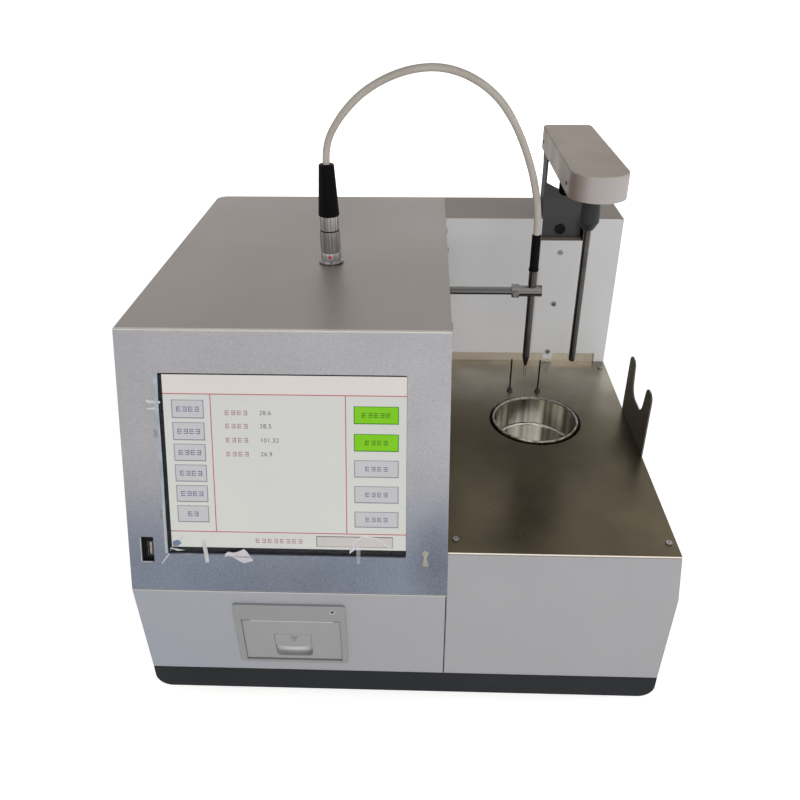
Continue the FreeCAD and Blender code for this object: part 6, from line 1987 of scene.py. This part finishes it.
@dataclass
class ScrewHeads(Assembly):
    """Pan-head screws with a cross recess.

    Each place gives a point on the sheet, the side it looks to and the head's turn in degrees.
    """

    radius: float = 3.0
    rise: float = 1.6
    shank: float = 1.5
    shank_length: float = 3.0
    recess: float = 1.0
    arm_length: float = 1.75
    arm_width: float = 0.62
    arm_taper: Pair = (0.45, 0.6)
    overshoot: float = 0.4
    sides: int = 28
    dome: float = 0.75
    places: tuple[tuple[Triple, Side, float], ...] = (
        ((293.4, 30.593, DECK_Z), Side.UP, 20), ((484.6, 30.593, DECK_Z), Side.UP, 65),
        ((484.6, 358.2, DECK_Z), Side.UP, 10), ((293.4, 358.2, DECK_Z), Side.UP, 50),
        ((422.9, COLUMN_FRONT, 332.917), Side.FRONT, 40), ((421.4, COLUMN_FRONT, 266.858), Side.FRONT, 15),
        ((419.9, COLUMN_FRONT, 200.8), Side.FRONT, 70), ((286.0, 99.82, 367.117), Side.RIGHT, 5),
        ((286.0, 287.96, 367.117), Side.RIGHT, 35), ((286.0, 350.06, 367.117), Side.RIGHT, 60),
        ((493.5, 181.6125, 165.2), Side.RIGHT, 25), ((493.5, 249.6125, 165.2), Side.RIGHT, 80),
        ((24.0, 460.0, 361.617), Side.BACK, 12), ((468.0, 460.0, 361.617), Side.BACK, 48),
        ((24.0, 460.0, 59.7), Side.BACK, 75), ((468.0, 460.0, 59.7), Side.BACK, 33),
    )

    def _master(self) -> bpy.types.Object:
        """Models one screw along +Z, its seat on the origin.

        Returns:
            The screw.
        """
        Hand.clear()
        bpy.ops.mesh.primitive_cylinder_add(
            vertices=self.sides, radius=self.radius * MM, depth=self.rise * MM,
            location=(0, 0, self.rise * MM / 2))
        head = Hand.settle(Hand.named("screw"))
        top = self.rise * MM * 0.9
        with Hand.editing(head) as mesh:
            Hand.pick_faces(mesh, above(top))
            bpy.ops.mesh.bevel(offset=self.dome * MM, segments=4, profile=0.6, affect="EDGES")
        with Hand.editing(head) as mesh:
            Hand.pick_faces(mesh, below(0.1 * top))
            bpy.ops.mesh.inset(thickness=(self.radius - self.shank) * MM)
            shank = (0, 0, -self.shank_length * MM)
            bpy.ops.mesh.extrude_region_move(TRANSFORM_OT_translate={"value": shank})
        return self._cut_cross(head)

    def _cut_cross(self, head: bpy.types.Object) -> bpy.types.Object:
        """Sinks a tapered cross into the head.

        Args:
            head: The screw's head.

        Returns:
            The same head.
        """
        middle = (self.rise - self.recess / 2 + self.overshoot / 2) * MM
        for turn in (0.0, math.pi / 2):
            Hand.clear()
            bpy.ops.mesh.primitive_cube_add(size=1.0, location=(0, 0, middle))
            blade = Hand.named("blade")
            blade.scale = (
                2 * self.arm_length * MM, self.arm_width * MM, (self.recess + self.overshoot) * MM)
            Hand.settle(blade)
            low = (self.rise - self.recess) * MM
            with Hand.editing(blade) as mesh:
                Hand.pick_faces(mesh, below(low + 0.1 * MM))
                bpy.ops.transform.resize(value=(*self.arm_taper, 1.0), center_override=(0, 0, low))
            blade.data.transform(Matrix.Rotation(turn, 4, "Z"))
            cut = head.modifiers.new("cross", "BOOLEAN")
            cut.operation = "DIFFERENCE"
            cut.object = blade
            cut.solver = "EXACT"
            Hand.apply_modifiers(head)
            bpy.data.objects.remove(blade)
        Hand.smooth(head)
        return head

    def build(self) -> None:
        """Builds every screw as one piece in place of the plain ones."""
        master = self._master()
        self.wardrobe.dress(master, "screw_steel")
        screws = []
        for place, side, turn in self.places:
            aim = Vector(side.value).to_track_quat("Z", "Y").to_matrix().to_4x4()
            spin = Matrix.Rotation(math.radians(turn), 4, "Z")
            screws.append(Hand.copy(master, Matrix.Translation(bench(*place)) @ aim @ spin))
        bpy.data.objects.remove(master)
        heads = Hand.join("panel_screw_heads", screws)
        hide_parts("panel_screws")
        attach(heads, "housing")
        LOG.info("panel_screw_heads: %d screws", len(screws))


@dataclass(frozen=True)
class Lamp:
    """Area lamp, in metres and watts, with a linear colour."""

    name: str
    place: Triple
    size: Pair
    power: float
    colour: Triple = (1.0, 1.0, 1.0)


@dataclass
class Studio:
    """Floor, lamps, world and the camera."""

    lamps: tuple[Lamp, ...] = (
        Lamp("front_window", (0.7, -2.6, 0.9), (2.0, 1.2), 42.0, (1.0, 0.985, 0.97)),
        Lamp("right_fill", (2.4, -0.3, 0.62), (1.4, 0.9), 12.0),
        Lamp("left_fill", (-2.4, -0.3, 0.62), (1.4, 0.9), 11.0, (1.0, 0.98, 0.96)),
        Lamp("back_fill", (0.2, 2.6, 0.6), (1.8, 1.0), 18.0),
    )
    lamps_aim: Triple = (0.0, 0.0, 0.2)
    floor_size: float = 80.0
    floor_colour: Rgba = (0.86, 0.86, 0.86, 1.0)
    world_colour: Rgba = (1.0, 0.94, 0.88, 1.0)
    world_light: float = 0.22
    near_glow: float = 0.7
    clear_from: float = 0.7
    clear_at: float = 1.6
    focal_px: float = 770.306
    photo_px: float = 800.0
    sensor: float = 36.0
    eye: Triple = (263.279, -502.819, 655.924)
    yaw: float = 0.0364430
    pitch: float = 0.5427584
    roll: float = -0.00602683

    def build(self) -> None:
        """Builds all of it."""
        self._camera()
        self._world()
        self._floor()
        for lamp in self.lamps:
            self._lamp(lamp)

    def _camera(self) -> None:
        """Camera at the photograph's viewing angle."""
        data = bpy.data.cameras.new("camera")
        data.sensor_width = self.sensor
        data.lens = self.sensor * self.focal_px / self.photo_px
        data.clip_start = 0.01
        data.clip_end = 200.0
        camera = bpy.data.objects.new("camera", data)
        bpy.context.scene.collection.objects.link(camera)
        turn = Matrix.Rotation(self.yaw, 4, "Z") @ Matrix.Rotation(math.pi / 2 - self.pitch, 4, "X")
        turn = turn @ Matrix.Rotation(self.roll, 4, "Z")
        camera.matrix_world = Matrix.Translation(bench(*self.eye)) @ turn
        bpy.context.scene.camera = camera

    def _world(self) -> None:
        """Even soft light, with white behind the object."""
        world = bpy.data.worlds.new("studio")
        bpy.context.scene.world = world
        world.use_nodes = True
        nodes = NodeBench(world.node_tree)
        light = world.node_tree.nodes["Background"]
        light.inputs["Color"].default_value = self.world_colour
        light.inputs["Strength"].default_value = self.world_light
        white = nodes.add("ShaderNodeBackground")
        white.inputs["Color"].default_value = WHITE
        white.inputs["Strength"].default_value = 1.0
        mix = nodes.add("ShaderNodeMixShader")
        nodes.feed(mix.inputs["Fac"], self._seen(nodes))
        nodes.feed(mix.inputs[1], light.outputs["Background"])
        nodes.feed(mix.inputs[2], white.outputs["Background"])
        nodes.feed(world.node_tree.nodes["World Output"].inputs["Surface"], mix.outputs["Shader"])

    @staticmethod
    def _seen(nodes: NodeBench) -> bpy.types.NodeSocket:
        """Gives 1 where the surface is seen or mirrored, and 0 where it only lights.

        Args:
            nodes: The tree that needs it.

        Returns:
            The socket with the mask.
        """
        path = nodes.add("ShaderNodeLightPath")
        seen = nodes.sum("MAXIMUM", path.outputs["Is Camera Ray"], path.outputs["Is Glossy Ray"])
        return nodes.sum("MAXIMUM", seen, path.outputs["Is Transmission Ray"])

    def _floor(self) -> None:
        """Pale floor that keeps the object's shadow and turns white round it."""
        Hand.clear()
        bpy.ops.mesh.primitive_plane_add(size=self.floor_size)
        floor = Hand.named("studio_floor")
        material = bpy.data.materials.new("studio_floor")
        material.use_nodes = True
        nodes = NodeBench(material.node_tree)
        surface = material.node_tree.nodes["Principled BSDF"]
        surface.inputs["Base Color"].default_value = self.floor_colour
        surface.inputs["Roughness"].default_value = 0.9
        surface.inputs["Specular IOR Level"].default_value = 0.0
        surface.inputs["Emission Color"].default_value = WHITE
        far = nodes.add("ShaderNodeVectorMath", "LENGTH")
        nodes.feed(far.inputs[0], nodes.add("ShaderNodeTexCoord").outputs["Object"])
        away = nodes.spread(far.outputs["Value"], self.clear_from, self.clear_at, soft=True)
        rise = nodes.sum("MULTIPLY", away, 1.0 - self.near_glow)
        glow = nodes.sum("ADD", rise, self.near_glow)
        lift = nodes.sum("MULTIPLY", self._seen(nodes), glow)
        nodes.feed(surface.inputs["Emission Strength"], lift)
        floor.data.materials.append(material)

    def _lamp(self, lamp: Lamp) -> None:
        """Hangs one lamp and aims it at the middle of the object.

        Args:
            lamp: The lamp.
        """
        light = bpy.data.lights.new(lamp.name, "AREA")
        light.shape = "RECTANGLE"
        light.size, light.size_y = lamp.size
        light.energy = lamp.power
        light.color = lamp.colour
        hung = bpy.data.objects.new(lamp.name, light)
        bpy.context.scene.collection.objects.link(hung)
        hung.location = lamp.place
        aim = Vector(self.lamps_aim) - Vector(lamp.place)
        hung.rotation_euler = aim.to_track_quat("-Z", "Y").to_euler()
        hung.visible_camera = False
        hung.visible_glossy = False


def dress_nodes(wardrobe: Wardrobe, nodes: dict[str, bpy.types.Object]) -> None:
    """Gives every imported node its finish.

    Args:
        wardrobe: The materials.
        nodes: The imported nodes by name.
    """
    for name, finish in NODE_FINISH.items():
        wardrobe.dress(nodes[name], finish)
    LOG.info("%d nodes dressed", len(NODE_FINISH))


def main() -> None:
    """Builds the whole scene in order."""
    logging.basicConfig(level=logging.INFO, format="%(message)s")
    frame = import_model()
    bpy.context.scene.view_settings.view_transform = "Standard"
    wardrobe = Wardrobe(ShaderGroups())
    dress_nodes(wardrobe, frame["nodes"])
    Studio().build()
    SensorCable(wardrobe).build(frame["nodes"])
    ScreenPage(wardrobe).build()
    ProtectiveFilm(wardrobe).build()
    UsbLiner(wardrobe).build()
    PlugRings(wardrobe).build()
    PrinterTrim(wardrobe).build()
    ForkGapShade(wardrobe).build()
    CupRim(wardrobe).build()
    PanelSeamShade(wardrobe).build()
    ScrewHeads(wardrobe).build()


if __name__ == "__main__":
    main()
